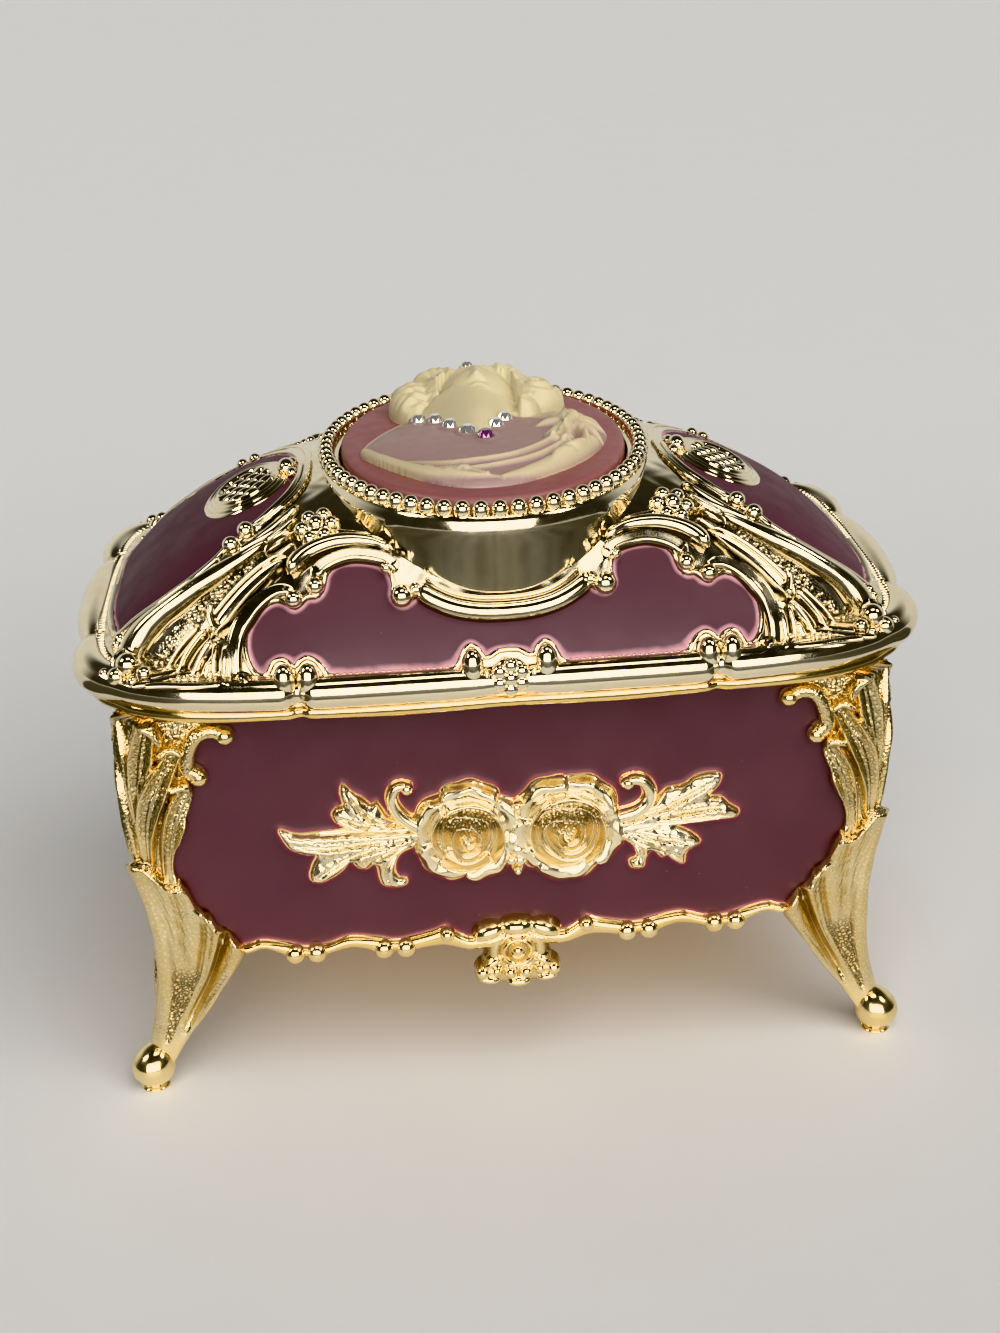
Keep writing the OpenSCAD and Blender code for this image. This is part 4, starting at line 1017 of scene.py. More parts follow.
def curl(sp, r0, r1, end, lift=0.35, grain=0.0):
    """A tapered scroll with a ball end: across, up, out."""
    L = even(cr(sp, 8), 0.18)
    t = np.linspace(0, 1, len(L))
    P = np.column_stack([L, np.full(len(L), lift)])
    p = Part()
    V, F = tube(P, r0 + (r1 - r0) * t, 12, 1.25, up=(0, 0, 1))
    p.add(V, F, stip=grain)
    V, F = ball(P[-1] + [0, 0, 0.15], (end, end, end * 1.1), 14, 9)
    return p.add(V, F)


def rose(cx, cz, R, turn):
    """An open rose: overlapping ruffled petals round a cup of wound inner petals. Across, up, out; the hollows get a
    mask of painted shade, stronger towards the top.
    """
    nr, na = 96, 192
    Rr, Aa = np.meshgrid(np.linspace(0, 1, nr), np.arange(na) * 2 * math.pi / na, indexing="ij")
    A = Aa + turn
    u = (A / (2 * math.pi) * 5) % 1.0
    ruff = np.sin(math.pi * u) ** 0.5
    rho = Rr * R * (0.87 + 0.12 * ruff + 0.018 * np.cos(13 * A + 0.7))
    # each outer petal starts over its neighbour and sinks under the next
    H = 0.45 + 0.60 * (1 - u) ** 0.8 * sstep(0.50, 0.80, Rr) + 0.55 * np.sin(np.clip((Rr - 0.60) / 0.40, 0, 1) * math.pi * 0.78)
    H = H + 0.16 * np.cos(2 * math.pi * (2.0 * u + 0.9 * Rr)) * sstep(0.66, 0.92, Rr) - 0.70 * sstep(0.86, 1.0, Rr)
    x, y = rho * np.cos(Aa) / R, rho * np.sin(Aa) / R
    q = np.hypot(x, y + 0.02)
    th = np.arctan2(y + 0.02, x) + turn
    w_ = (th / (2 * math.pi) * 4 + 0.3) % 1.0
    rk = 0.63 * (1.05 - 0.10 * w_)
    tp = 2.05 + 0.20 * np.cos(math.pi * w_)
    H = np.where(q > rk, np.maximum(H, tp * np.exp(-(np.clip((q - rk) / 0.05, 0, 9) ** 2))), H)
    # inside the cup: petals wound round the bud, each rim steep on its inner side
    qb = np.hypot(x, y + 0.08) * (1 + 0.08 * np.cos(3 * th + 0.8) + 0.05 * np.cos(2 * th - 0.6))
    tb = (np.arctan2(y + 0.08, x) + turn) / (2 * math.pi)
    s_ = (qb / 0.20 - tb) % 1.0
    rim_ = np.where(s_ < 0.80, 1 - s_ / 0.80, (s_ - 0.80) / 0.20)
    bud = 0.50 + 1.15 * np.exp(-((qb / 0.30) ** 2)) + 1.0 * rim_**1.8 * sstep(0.58, 0.47, qb) * sstep(0.02, 0.09, qb)
    wall_ = 0.5 + (tp - 0.5) * np.exp(-(np.clip((rk - q) / 0.085, 0, 9) ** 1.6))
    H = np.where(q <= rk, np.maximum(bud, wall_), H)
    # painted shade: the valleys between the wound petals and the foot of the cup's wall are marked for the amber shade
    # colour
    hollow = np.where(q <= rk, np.clip(1.25 * (1 - rim_) ** 2 * sstep(0.60, 0.50, qb) + 0.75 * sstep(0.40, 0.56, q) * sstep(0.1, 1.0, tp - H), 0, 1), 0)
    # the painted shade is stronger towards the top of the rose
    hollow = hollow * (0.40 + 0.60 * sstep(-0.40, 0.25, y))
    H[-1] = -0.3
    V = np.stack([cx + rho * np.cos(Aa), cz + rho * np.sin(Aa), H], -1)
    V[0, :, 2] = V[0, :, 2].mean()
    grainy = 0.9 * sstep(-0.05, 0.2, y) * sstep(rk, rk - 0.1, q)
    return V.reshape(-1, 3), grid_faces(na, nr, True), (0.70 * hollow).ravel(), grainy.ravel()


def spray(outlines, veins, H=0.88, step=0.15):
    """Acanthus leaves of the given outlines, crowned, with sunk veins. Across, up, out."""
    polys = [cr(o, 5, True) for o in outlines]

    def sdf(P):
        d = np.full(len(P), 99.0)
        for q in polys:
            _, e, _ = near(P, np.vstack([q, q[:1]]), 99)
            d = np.minimum(d, np.where(inside(P, q), -e, e))
        return d

    mid = {}

    def height(P, depth):
        hh = 0.12 + H * np.sqrt(np.clip(1 - (1 - np.clip(depth / 1.25, 0, 1)) ** 2, 0, 1))
        hh += 0.06 * np.sin(P[:, 0] * 5.2 + 1.5 * np.sin(P[:, 1] * 3.1)) * sstep(0.2, 0.8, depth)
        for q in veins:
            idx, d, t_ = near(P, cr(q, 8), 1.3)
            f_ = np.sin(np.clip(t_ * 0.9 + 0.1, 0, 1) * math.pi) ** 0.5
            hh[idx] += f_ * (0.20 * np.exp(-(((d - 0.45) / 0.22) ** 2)) - 0.55 * np.exp(-((d / 0.17) ** 2)))
        mid["st"] = 0.32 * sstep(0.35, 0.9, depth)
        return hh

    lo_, hi_ = np.vstack(polys).min(0) - 0.4, np.vstack(polys).max(0) + 0.4
    V, F = plate(sdf, lo_[0], hi_[0], lo_[1], hi_[1], step, height, 0.35)
    st = np.zeros(len(V))
    st[: len(mid["st"])] = mid["st"]
    return V, F, st


W = lambda *p: [(i / (len(p) - 1), q) for i, q in enumerate(p)]
orn = Part()
for args in ((-4.7, 28.8, 6.0, 0.4), (5.5, 28.6, 6.35, 2.2)):
    V, F, dp, gr = rose(*args)
    orn.add(V, F, deep=dp, stip=gr)
for x, z, r in ((0.35, 26.6, 0.8), (0.55, 25.4, 0.7), (-0.35, 25.5, 0.6), (0.4, 31.6, 0.6), (0.3, 24.2, 0.5)):
    orn.add(*ball((x, z, 0.85), (r, r, 0.7)))
# left spray
V, F, st_w = spray([[(-17.0, 35.2), (-16.2, 34.3), (-15.2, 33.6), (-14.3, 32.7), (-13.7, 32.9), (-13.2, 32.1), (-12.6, 31.1), (-11.3, 30.3), (-9.6, 29.6), (-13.0, 29.4), (-15.7, 29.6), (-17.1, 30.3), (-18.0, 31.0), (-18.3, 31.9), (-17.8, 32.6), (-17.1, 32.8), (-17.3, 34.2)],
                    [(-9.4, 29.4), (-15.7, 30.0), (-19.9, 29.9), (-22.0, 29.9), (-23.7, 30.5), (-23.4, 29.3), (-22.7, 28.2), (-21.4, 27.5), (-20.2, 27.2), (-20.6, 26.3), (-21.0, 25.1), (-20.8, 24.3), (-19.9, 24.1), (-18.7, 24.6), (-17.7, 25.3), (-16.8, 26.3), (-16.0, 25.5), (-15.2, 25.3), (-14.6, 25.7), (-14.1, 25.5), (-13.9, 24.2), (-13.6, 23.3), (-12.4, 22.9), (-11.3, 23.1), (-11.2, 23.8), (-11.9, 24.0), (-12.3, 24.7), (-12.2, 25.9), (-11.5, 26.9), (-10.0, 27.6), (-9.2, 28.5)]],
                   [[(-9.9, 29.55), (-13.1, 29.7), (-16.2, 29.75), (-19.4, 29.7), (-23.0, 29.9)], [(-11.0, 28.7), (-15.5, 28.5), (-19.0, 28.2), (-22.6, 28.9)], [(-12.5, 28.3), (-16.0, 27.2), (-18.4, 26.0), (-20.5, 24.6)],
                    [(-10.8, 28.0), (-13.2, 27.0), (-14.9, 25.8)], [(-10.6, 27.6), (-12.4, 26.4), (-13.2, 24.9), (-12.9, 23.6)], [(-10.8, 30.0), (-13.4, 30.8), (-15.4, 32.2), (-16.8, 34.6)], [(-13.0, 30.1), (-15.6, 30.7), (-17.8, 31.7)]])
orn.add(V, F, stip=st_w)
orn.join(curl([(-9.7, 29.9), (-10.9, 30.8), (-11.8, 31.9), (-12.2, 33.3), (-11.8, 34.4), (-11.1, 34.7), (-10.6, 34.4)], 0.75, 0.50, 0.66, 0.5))
# right spray
V, F, st_w = spray([[(10.8, 29.3), (13.2, 30.0), (14.7, 30.9), (15.8, 32.1), (17.5, 32.4), (19.0, 33.4), (20.6, 33.6), (21.5, 33.2), (21.2, 32.1), (20.3, 30.9), (21.5, 30.7), (22.4, 29.8), (23.4, 29.0), (23.0, 28.2), (21.4, 28.1), (17.6, 27.9), (14.7, 27.8), (11.0, 27.8)],
                    [(11.0, 28.0), (13.2, 27.6), (15.8, 27.9), (17.6, 27.3), (18.8, 26.5), (19.4, 25.6), (18.6, 25.0), (17.9, 24.4), (17.7, 23.2), (16.9, 23.5), (16.0, 24.3), (15.4, 24.1), (14.7, 24.9), (14.1, 24.8), (13.6, 24.0), (13.4, 23.1), (12.3, 23.1), (12.0, 24.0), (12.8, 24.5), (12.4, 25.8), (11.2, 26.9)]],
                   [[(11.2, 28.2), (14.6, 28.15), (18.6, 28.5), (22.8, 28.8)], [(11.4, 28.9), (15.0, 29.9), (18.0, 31.3), (21.0, 33.0)], [(15.0, 29.2), (18.6, 29.6), (21.8, 29.9)], [(11.6, 27.5), (15.0, 26.6), (18.8, 25.8)],
                    [(12.0, 27.0), (14.8, 25.7), (17.3, 23.8)], [(11.8, 26.6), (13.2, 25.2), (13.0, 23.7)]])
orn.add(V, F, stip=st_w)
orn.join(curl([(10.8, 29.4), (12.7, 29.9), (13.8, 30.8), (14.1, 32.1), (13.5, 33.2), (12.5, 33.6), (11.8, 33.3)], 0.75, 0.62, 0.72, 0.5))


def apron_beads(p, pts, r=1.12):
    for x, z in pts:
        for s in (1, -1):
            V, F = ball((s * x, z, 0.55), (r, r * 0.98, 1.05), 16, 10)
            p.add(V, F)


apron = Part()
apron_beads(apron, [(11.65, 15.7), (13.95, 15.75), (20.95, 15.9), (23.2, 15.95)])
apron_beads(apron, [(7.3, 17.0)], 0.85)
for s in (1, -1):  # corner scrolls at the top of the field
    apron.join(curl([(s * 31.2, 37.6), (s * 32.1, 38.5), (s * 31.9, 40.2), (s * 30.9, 41.9), (s * 29.4, 42.35), (s * 28.1, 41.75)], 0.92, 0.78, 0.98, 0.6, 0.35))
    apron.add(*ball((s * 31.1, 37.35, 0.7), (0.98, 0.98, 1.0), 14, 9))
    apron.add(*leaf([(s * 29.2, 42.7), (s * 31.6, 41.7), (s * 32.7, 39.3)], (W(0.2, 0.5, 0.2), W(0.2, 0.5, 0.2)), 0.9, 0.1, 0, 2))


def pend_sdf(P):
    x, z = np.abs(P[:, 0]), P[:, 1]
    c = lambda a, b, r: np.hypot(x - a, z - b) - r
    e = lambda a, b, rx, rz: (np.hypot((x - a) / rx, (z - b) / rz) - 1) * min(rx, rz)
    d = np.minimum(e(0, 17.0, 2.3, 1.5), c(0, 14.4, 3.05))
    for k in (e(2.75, 16.65, 1.95, 1.45), c(3.05, 11.75, 1.55), c(0, 11.35, 1.75), c(1.75, 11.9, 1.5), e(0, 13.4, 3.6, 1.6)):
        d = np.minimum(d, k)
    return d


def pend_h(P, depth):
    x, z = P[:, 0], P[:, 1]
    hh = 1.0 * np.sqrt(np.clip(1 - (1 - np.clip(depth / 0.8, 0, 1)) ** 2, 0, 1)) + 0.15
    r = np.hypot(x, z - 14.5)
    ros = 0.70 + 0.85 * np.exp(-(((r - 1.50) / 0.36) ** 2)) + 0.95 * np.sqrt(np.clip(1 - (r / 0.80) ** 2, 0, 1))
    hh = np.where(r < 2.15, ros, hh)
    # a fan of three smooth lobes over the rosette
    g = np.abs(np.cos(math.pi * x / 2.95)) ** 0.6
    e = np.clip(np.abs(z - 17.35 + 0.045 * x**2) / (0.78 + 0.34 * g), 0, 1)
    hh = np.where((e < 1) & (np.abs(x) < 4.42), np.maximum(hh * 0.6, (1.00 + 0.70 * g) * np.sqrt(1 - e**2) + 0.1), hh)
    # leaves and buds in three groups along the foot: across, up, half sizes, turn, height
    hh = np.where((z < 13.2) & (r > 2.15), hh * 0.72, hh)
    for cx, cz, rx, rz, a_, top in ((2.75, 13.15, 1.25, 0.55, -0.55, 0.95), (3.75, 12.05, 0.86, 0.80, 0.0, 1.05), (2.35, 12.05, 0.62, 0.78, 0.5, 0.90),
                                    (3.10, 11.00, 1.20, 0.46, 0.15, 0.75), (0.80, 11.85, 0.72, 0.86, -0.4, 1.05), (0.0, 10.55, 1.35, 0.55, 0.0, 0.80), (0.0, 12.45, 0.42, 0.36, 0.0, 0.80)):
        dx, dz = np.abs(x) - cx, z - cz
        q = np.hypot((dx * math.cos(a_) + dz * math.sin(a_)) / rx, (dz * math.cos(a_) - dx * math.sin(a_)) / rz)
        hh = np.where(q < 1, np.maximum(hh, 0.60 + top * np.sqrt(np.clip(1 - q**2, 0, 1))), hh)
    return hh


V, F = plate(pend_sdf, -5.5, 5.5, 9.0, 19.2, 0.13, pend_h, 0.9)
# painted shade on the pendant's lower parts
apron.add(V, F, deep=0.85 * np.clip((1.05 - V[:, 2]) / 0.7, 0, 1))
for nm, fn in (("front", to_front), ("back", to_back)):
    build(nm + "_ornament", facing(orn.mapped(fn), (0, 0, 30)), M_CASEG, "case", ())
    build(nm + "_apron", facing(apron.mapped(fn), (0, 0, 30)), M_LEG, "case", ())
flat_on = lambda q: np.vstack([v_[v_[:, 2] > -0.2] for v_ in q.V])[:, :2]
front = panel(35.2, 0.20, low_f, up_f, 112, flat_on(orn), LEG_X)
for nm, fn in (("case_front", to_front), ("case_back", to_back)):
    build(nm, facing(front.mapped(fn), (0, 0, 30)), M_CASE, "case", ())
# the ends of the case: one rose with short sprays
so = Part()
V, F, dp, gr = rose(0, 28.6, 5.4, 1.1)
so.add(V, F, deep=dp, stip=gr)
for s in (1, -1):
    V, F, st_w = spray([[(s * x_, z_) for x_, z_ in ((4.0, 29.4), (6.6, 30.4), (8.2, 31.6), (9.4, 33.2), (10.8, 34.0), (11.2, 32.8), (10.4, 31.4), (11.6, 30.6), (12.8, 29.6), (13.4, 28.7), (12.4, 27.9), (11.0, 27.3), (11.2, 26.0), (10.9, 24.4), (9.8, 24.0), (8.6, 25.0), (7.4, 26.0), (6.0, 26.6), (4.0, 27.6))]],
                       [[(s * x_, z_) for x_, z_ in q_] for q_ in (((4.6, 28.6), (8.4, 28.8), (12.8, 28.7)), ((5.0, 29.4), (7.8, 30.8), (10.6, 33.4)), ((5.0, 27.9), (7.8, 26.6), (10.2, 24.7)))])
    so.add(V, F, stip=st_w)
    so.join(curl([(s * 4.4, 30.2), (s * 6.0, 31.8), (s * 6.3, 33.6), (s * 5.4, 34.5), (s * 4.7, 34.0)], 0.6, 0.45, 0.6))
    so.join(curl([(s * 4.6, 27.2), (s * 5.9, 25.6), (s * 6.2, 23.9), (s * 5.2, 23.1), (s * 4.6, 23.6)], 0.6, 0.5, 0.62))
    so.join(curl([(s * 16.8, 37.6), (s * 17.6, 38.5), (s * 17.4, 40.2), (s * 16.4, 41.9), (s * 14.9, 42.35), (s * 13.6, 41.75)], 0.85, 0.85, 1.0, 0.6))
    so.add(*ball((s * 16.6, 37.25, 0.7), (0.95, 0.95, 1.0), 14, 9))
apron_beads(so, [(8.05, 15.9), (10.2, 15.95)])
for x, z, r in ((0, 15.9, 1.5), (1.9, 16.4, 1.0), (-1.9, 16.4, 1.0), (0, 17.7, 0.8)):
    so.add(*ball((x, z, 0.5), (r, r, 1.15), 14, 9))
sidep = panel(20.7, 0.22, low_s, up_s, 100, flat_on(so), LEG_Y)
for nm, fn in (("case_right", to_right), ("case_left", to_left)):
    build(nm, facing(sidep.mapped(fn), (0, 0, 30)), M_CASE, "case", ())
for nm, fn in (("right", to_right), ("left", to_left)):
    build(nm + "_ornament", facing(so.mapped(fn), (0, 0, 30)), M_CASEG, "case", ())

# ------------------------------------------------------------------ legs


def leg_mesh():
    """The corner leg at +x, -y: leaf-work on both flanks of a rounded corner, hollow behind, with a ball foot."""
    nz, nf = 250, 80
    z = np.linspace(2.6, 43.4, nz)
    Xs, Ys, Lf = table(z, LEG_X), table(z, LEG_Y), table(z, LEG_W)
    rad = table(z, [(2.6, 1.6), (8, 1.8), (14, 2.6), (25, 3.4), (43.4, 3.4)])
    ease = lambda q: np.convolve(np.pad(q, 7, "reflect", reflect_type="odd"), np.hanning(17)[1:-1] / np.hanning(17).sum(), "valid")
    Xs, Ys, Lf, rad = ease(Xs), ease(Ys), ease(Lf), ease(rad)
    f = np.linspace(0, 1, nf)  # 0 at the corner, 1 at the inner edge

    def flank(z_i):
        r = rad[z_i]
        arc = r * math.pi / 4
        s = f * (Lf[z_i] - r + arc)
        a = np.minimum(s, arc) / r
        straight = np.maximum(s - arc, 0)
        # corner centre, then point on the front flank
        cx, cy = Xs[z_i] - r, -(Ys[z_i] - r)
        th = -math.pi / 4 - a
        x = cx + r * np.cos(th) - straight
        y = cy + r * np.sin(th)
        nx, ny = np.cos(th), np.sin(th)
        return x, y, nx, ny, s

    cl = cr([(0, 27.7), (0.9, 27.7), (1.7, 27.0), (2.4, 26.0), (3.0, 25.1), (3.7, 25.2), (4.6, 25.7), (5.0, 24.6), (5.4, 22.6), (5.8, 21.2), (6.4, 21.6), (6.9, 21.9), (7.3, 20.2), (7.6, 19.2), (8.2, 19.6), (9.2, 17.5), (10.4, 14.5)], 8)
    cuff = lambda a: np.interp(a, np.maximum.accumulate(cl[:, 0]), cl[:, 1])
    Vo, Vi, stp = [], [], []
    A2, Z2 = [], []
    for i in range(nz):
        x, y, nx, ny, s = flank(i)
        A2.append(s)
        Z2.append(np.full(nf, z[i]))
        Vo.append(np.stack([x, y, nx, ny], -1))
    Vo, A2, Z2 = np.array(Vo), np.array(A2), np.array(Z2)
    P2 = np.column_stack([A2.ravel(), Z2.ravel()])
    lower = Z2 < cuff(A2)
    up_h = np.full(len(P2), -0.42)
    st = np.zeros(len(P2))

    def lf(pts, w, hh, st_w=0.0):
        """One leaf laid over those before it: a hollow blade in a rolled border, with a dark line round it."""
        L = even(cr(pts, 10), 0.15)
        idx, d, t = near(P2, L, max(q[1] for q in w) * 1.45)
        r = d / np.maximum(table(t, w), 1e-3)
        rc = np.clip(r, 0, 1)
        p = np.where(rc < 0.72, 0.42 + 0.58 * (rc / 0.72) ** 2.2, np.sqrt(np.clip(1 - ((rc - 0.72) / 0.28) ** 2, 0, 1))) + 0.14 * np.exp(-((r / 0.14) ** 2))
        v = table(t, hh) * p - 0.42
        up_h[idx] = np.where(r < 1, np.maximum(v, np.minimum(up_h[idx] - 0.3, 0.0)), up_h[idx] - 0.40 * np.clip(1 - (r - 1) / 0.32, 0, 1))
        st[idx] = np.where(r < 1, st_w * sstep(0.74, 0.58, r) * sstep(0.12, 0.40, t), st[idx])

    def lip(pts, w, hh):
        """A tip rolled over."""
        L = even(cr(pts, 6), 0.2)
        idx, d, t = near(P2, L, w * 1.1)
        r = np.clip(d / (w * np.sin((0.2 + 0.6 * t) * math.pi) ** 0.6), 0, 1)
        up_h[idx] = np.where(r < 1, np.maximum(up_h[idx], 0.15 + hh * np.sqrt(1 - r**2)), up_h[idx])
        st[idx] = np.where(r < 1, 0, st[idx])

    lf([(0.0, 25), (0.0, 30), (0.1, 34.5)], W(0.8, 0.7, 0.35), W(0.35, 0.75, 0.7))
    lf([(0.0, 33.5), (0.0, 38.5), (0.0, 43.4)], W(0.35, 0.85, 1.25), W(0.5, 0.95, 1.05), 1.0)
    lf([(0.5, 32.5), (0.95, 36.5), (1.45, 39.8), (2.0, 43.3)], W(0.45, 0.95, 1.35, 0.95), W(0.7, 1.15, 1.35, 1.2), 1.0)
    lf([(0.95, 26.8), (1.25, 31), (1.95, 34.2), (3.1, 37.2), (4.2, 39.4), (4.8, 40.3)], W(0.5, 0.75, 1.05, 1.35, 1.25, 0.8), W(0.35, 0.85, 1.2, 1.4, 1.35, 1.1), 1.0)
    lf([(5.0, 30.4), (5.6, 31.1), (6.0, 31.7)], W(0.4, 0.6, 0.45), W(0.8, 1.1, 1.0))
    lf([(3.1, 25.4), (3.45, 29), (4.1, 32), (5.0, 34.2), (5.9, 35.8)], W(0.65, 0.85, 1.15, 1.45, 1.25), W(0.35, 0.95, 1.3, 1.4, 1.2), 1.0)
    lip([(1.7, 43.3), (2.7, 42.6), (3.3, 41.5)], 0.55, 0.95)
    lip([(3.2, 40.2), (4.3, 40.8), (5.3, 40.3)], 0.50, 1.0)
    lip([(4.3, 36.4), (5.6, 36.7), (7.0, 36.0)], 0.50, 1.0)
    lip([(5.5, 31.9), (6.1, 31.8), (6.2, 31.2)], 0.40, 0.8)
    st = np.maximum(st, ((P2[:, 1] > 38.0) & (P2[:, 0] > 2.6) & (up_h < -0.3)) * 1.0)
    idx, d, _ = near(P2, cl, 3.5)
    edge = np.full(len(P2), 3.5)
    edge[idx] = np.minimum(d, 3.5)
    edge = np.where(lower.ravel(), edge, -edge)
    lo_h = 0.10 + (0.95 + 0.25 * sstep(2.6, 1.2, P2[:, 0])) * np.exp(-np.clip(edge, 0, 9) / 0.85) - 0.30 * np.exp(-np.clip(edge, 0, 9) / 0.13)

    def ridge(pts, w, hh):
        L = even(cr(pts, 8), 0.4)
        idx, d, t = near(P2, L, w * 1.2)
        v = np.where(d < w, hh * (1 - np.minimum(d / w, 1) ** 2) ** 1.5 * sstep(0, 0.4, 1 - t), 0)
        lo_h[idx] += v

    for pts, w, hh in (([(0.0, 26.8), (0.0, 18), (0.0, 7)], 1.1, 0.60), ([(1.6, 26), (1.35, 19), (1.1, 11)], 0.45, -0.12), ([(3.0, 25.0), (2.6, 20), (1.9, 13)], 0.45, -0.32), ([(4.4, 24.6), (3.7, 18), (2.7, 11)], 0.95, 0.30),
                       ([(5.3, 21.3), (4.5, 17.5), (3.3, 12.5)], 0.42, -0.32), ([(6.4, 21), (5.6, 17), (4.3, 12), (2.9, 7.2)], 0.55, 0.45), ([(7.0, 18.9), (6.5, 17.6), (5.2, 14.0), (4.2, 11), (3.1, 7.4), (2.7, 5.6)], 0.55, -1.20),
                       ([(8.3, 18.8), (7.3, 15.2), (5.5, 10.2), (3.9, 5.8)], 1.1, 0.85)):
        ridge(pts, w, hh)
    fr = (A2 / A2.max(1, keepdims=True)).ravel()
    lo_h += 0.032 * np.cos(2 * math.pi * 11 * fr + 1.1 * np.sin(0.8 * P2[:, 1]) + 0.7 * np.sin(2.3 * P2[:, 1] + 9 * fr)) * sstep(27, 22, P2[:, 1]) * sstep(5, 9, P2[:, 1])
    split = table(P2[:, 1], [(5.6, 2.7), (7.4, 3.1), (11, 4.2), (14, 5.2), (17.6, 6.5)])
    stl = sstep(4.6, 6.2, P2[:, 1]) * sstep(16.5, 13.0, P2[:, 1]) * sstep(0.8, 1.2, P2[:, 0]) * sstep(split - 0.9, split - 1.5, P2[:, 0])
    wl = sstep(-0.15, 0.15, edge)
    H = (lo_h - 0.35 * stl) * wl + up_h * (1 - wl)
    stp = (np.maximum(stl, 0.24 * sstep(4.5, 7, P2[:, 1])) * wl + np.maximum(0.62 * st, 0.24) * (1 - wl)).reshape(nz, nf)
    H = H.reshape(nz, nf)
    soft = H
    for _ in range(14):
        e = np.pad(soft, 1, "edge")
        soft = (e[:-2, 1:-1] + e[2:, 1:-1] + e[1:-1, :-2] + e[1:-1, 2:]) / 4
    # painted shade: the recesses, lower than their smoothed surroundings, are marked for a darker painted colour
    cavity_shade = np.clip((soft - H - 0.03) / 0.30, 0, 1) * 0.85
    # round the inner edge over
    wd = A2.max(1, keepdims=True)
    H = H - 0.55 * (1 - np.sqrt(np.clip(1 - (1 - np.clip((wd - A2) / 0.7, 0, 1)) ** 2, 0, 1)))
    H = H * sstep(2.2, 6.0, Z2)
    front_o = np.stack([Vo[..., 0] + Vo[..., 2] * H, Vo[..., 1] + Vo[..., 3] * H, Z2], -1)
    thick = table(z, [(2.6, 1.6), (8, 1.8), (15, 1.9), (18, 1.4), (43.4, 1.2)])[:, None]
    front_i = np.stack([Vo[..., 0] - Vo[..., 2] * thick, Vo[..., 1] - Vo[..., 3] * thick, Z2], -1)

    def other(p):
        """The same flank on the side of the box, across the corner's diagonal."""
        q = p.copy()
        q[..., 0] = Xs[:, None] - (Ys[:, None] + p[..., 1])
        q[..., 1] = -Ys[:, None] + (Xs[:, None] - p[..., 0])
        return q

    so_, si_ = other(front_o), other(front_i)
    ring = np.concatenate([front_o[:, ::-1], so_[:, 1:], si_[:, ::-1], front_i[:, 1:]], 1)
    sring = np.concatenate([stp[:, ::-1], stp[:, 1:], np.zeros((nz, 2 * nf - 1))], 1)
    cavity_shade_ring = np.concatenate([cavity_shade[:, ::-1], cavity_shade[:, 1:], np.zeros((nz, 2 * nf - 1))], 1)
    nu = ring.shape[1]
    p = Part()
    m = 2 * nf - 1
    p.add(ring.reshape(-1, 3), grid_faces(nu, nz, True), stip=sring.ravel(), deep=cavity_shade_ring.ravel())
    # end faces between the outside and the inside
    k = np.arange(m - 1)
    for row, rev in ((0, False), (nz - 1, True)):
        q = np.stack([row * nu + k, row * nu + k + 1, row * nu + (nu - 2 - k), row * nu + (nu - 1 - k)], -1)
        p.F.append(q[:, ::-1] if rev else q)
    facing(p, (30, -15, 25))
    # foot: a rounded toe that leans into the leg, on a small flat pad
    V, F = ball((0, 0, 0), 1.0, 36, 26)
    rise = np.clip(V[:, 2:], 0, 1) ** 2
    V = V * [2.35, 2.35, 2.25] + rise * [-0.45, 0.28, 0.30] + [39.4, -22.6, 2.40]
    p.add(V, F)
    V, F = ball((39.4, -22.6, 0.0), (1.55, 1.55, 0.42), 28, 12)
    V[:, 2] = np.maximum(V[:, 2], 0.0)
    p.add(V, F)
    return p


leg = leg_mesh()
for nm, sx, sy in (("leg_front_right", 1, 1), ("leg_front_left", -1, 1), ("leg_rear_right", 1, -1), ("leg_rear_left", -1, -1)):
    q = leg.mapped(lambda v: v * [sx, sy, 1])
    if sx * sy < 0:
        q.flip()
    build(nm + "_relief", q, M_LEG, "case", nm)

# ------------------------------------------------------------------ cameo
pl = Part()
na = 200
a = np.arange(na) * 2 * math.pi / na
rows = [(0.0, 63.05), (0.5, 63.10), (0.88, 63.15), (0.955, 63.15), (0.985, 63.05), (1.0, 62.7), (1.0, 60.3), (0.98, 60.15), (0.0, 60.15)]
pl.add(np.vstack([np.column_stack([15 * k * np.cos(a), 20 * k * np.sin(a), np.full(na, zz)]) for k, zz in rows]), grid_faces(na, len(rows), True))
build("cameo_plate", facing(pl, (0, 0, 61.6)), M_ROSE, "lid", "cameo_ground")

# bust in relief, a face of its own on plain proportions: across, up the oval, out of the plate
STONES = [(-6.5, 3.4, 0.9), (-4.8, 1.4, 0.9), (-3.4, -1.2, 0.9), (-1.7, -3.7, 1.0), (1.4, -2.0, 0.9), (2.5, 0.4, 0.9), (-0.4, 14.0, 0.75)]
v_lo, v_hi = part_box("violet_stone")
VIOLET = ((v_lo[0] + v_hi[0]) * 500, (v_lo[1] + v_hi[1]) * 500, 0.92)
PZ = 63.15
body_line = cr([(-13.0, -4.2), (-11.6, -0.6), (-9.8, 2.4), (-8.0, 4.5), (-4.5, 6.0), (0, 7.0), (5.0, 5.2), (7.6, 3.8), (9.4, 3.1), (10.8, 2.3), (12.3, 0.4), (13.0, -2.6), (12.0, -6.2), (9.8, -10.2), (6.6, -13.6), (2.4, -16.4), (-2.4, -16.8), (-6.4, -14.4), (-9.8, -10.4), (-12.0, -7.0)], 6, True)
ell = lambda P, cx, cy, rx, ry: (np.hypot((P[:, 0] - cx) / rx, (P[:, 1] - cy) / ry) - 1) * min(rx, ry)
HAIR = [(0.2, 9.8, 7.3, 6.5), (-6.6, 9.6, 3.0, 4.5), (6.3, 7.6, 3.2, 3.7), (7.7, 7.3, 2.1, 2.5), (-3.6, 13.8, 3.6, 2.5), (3.0, 14.2, 3.8, 2.4), (4.6, 3.6, 2.2, 1.9)]
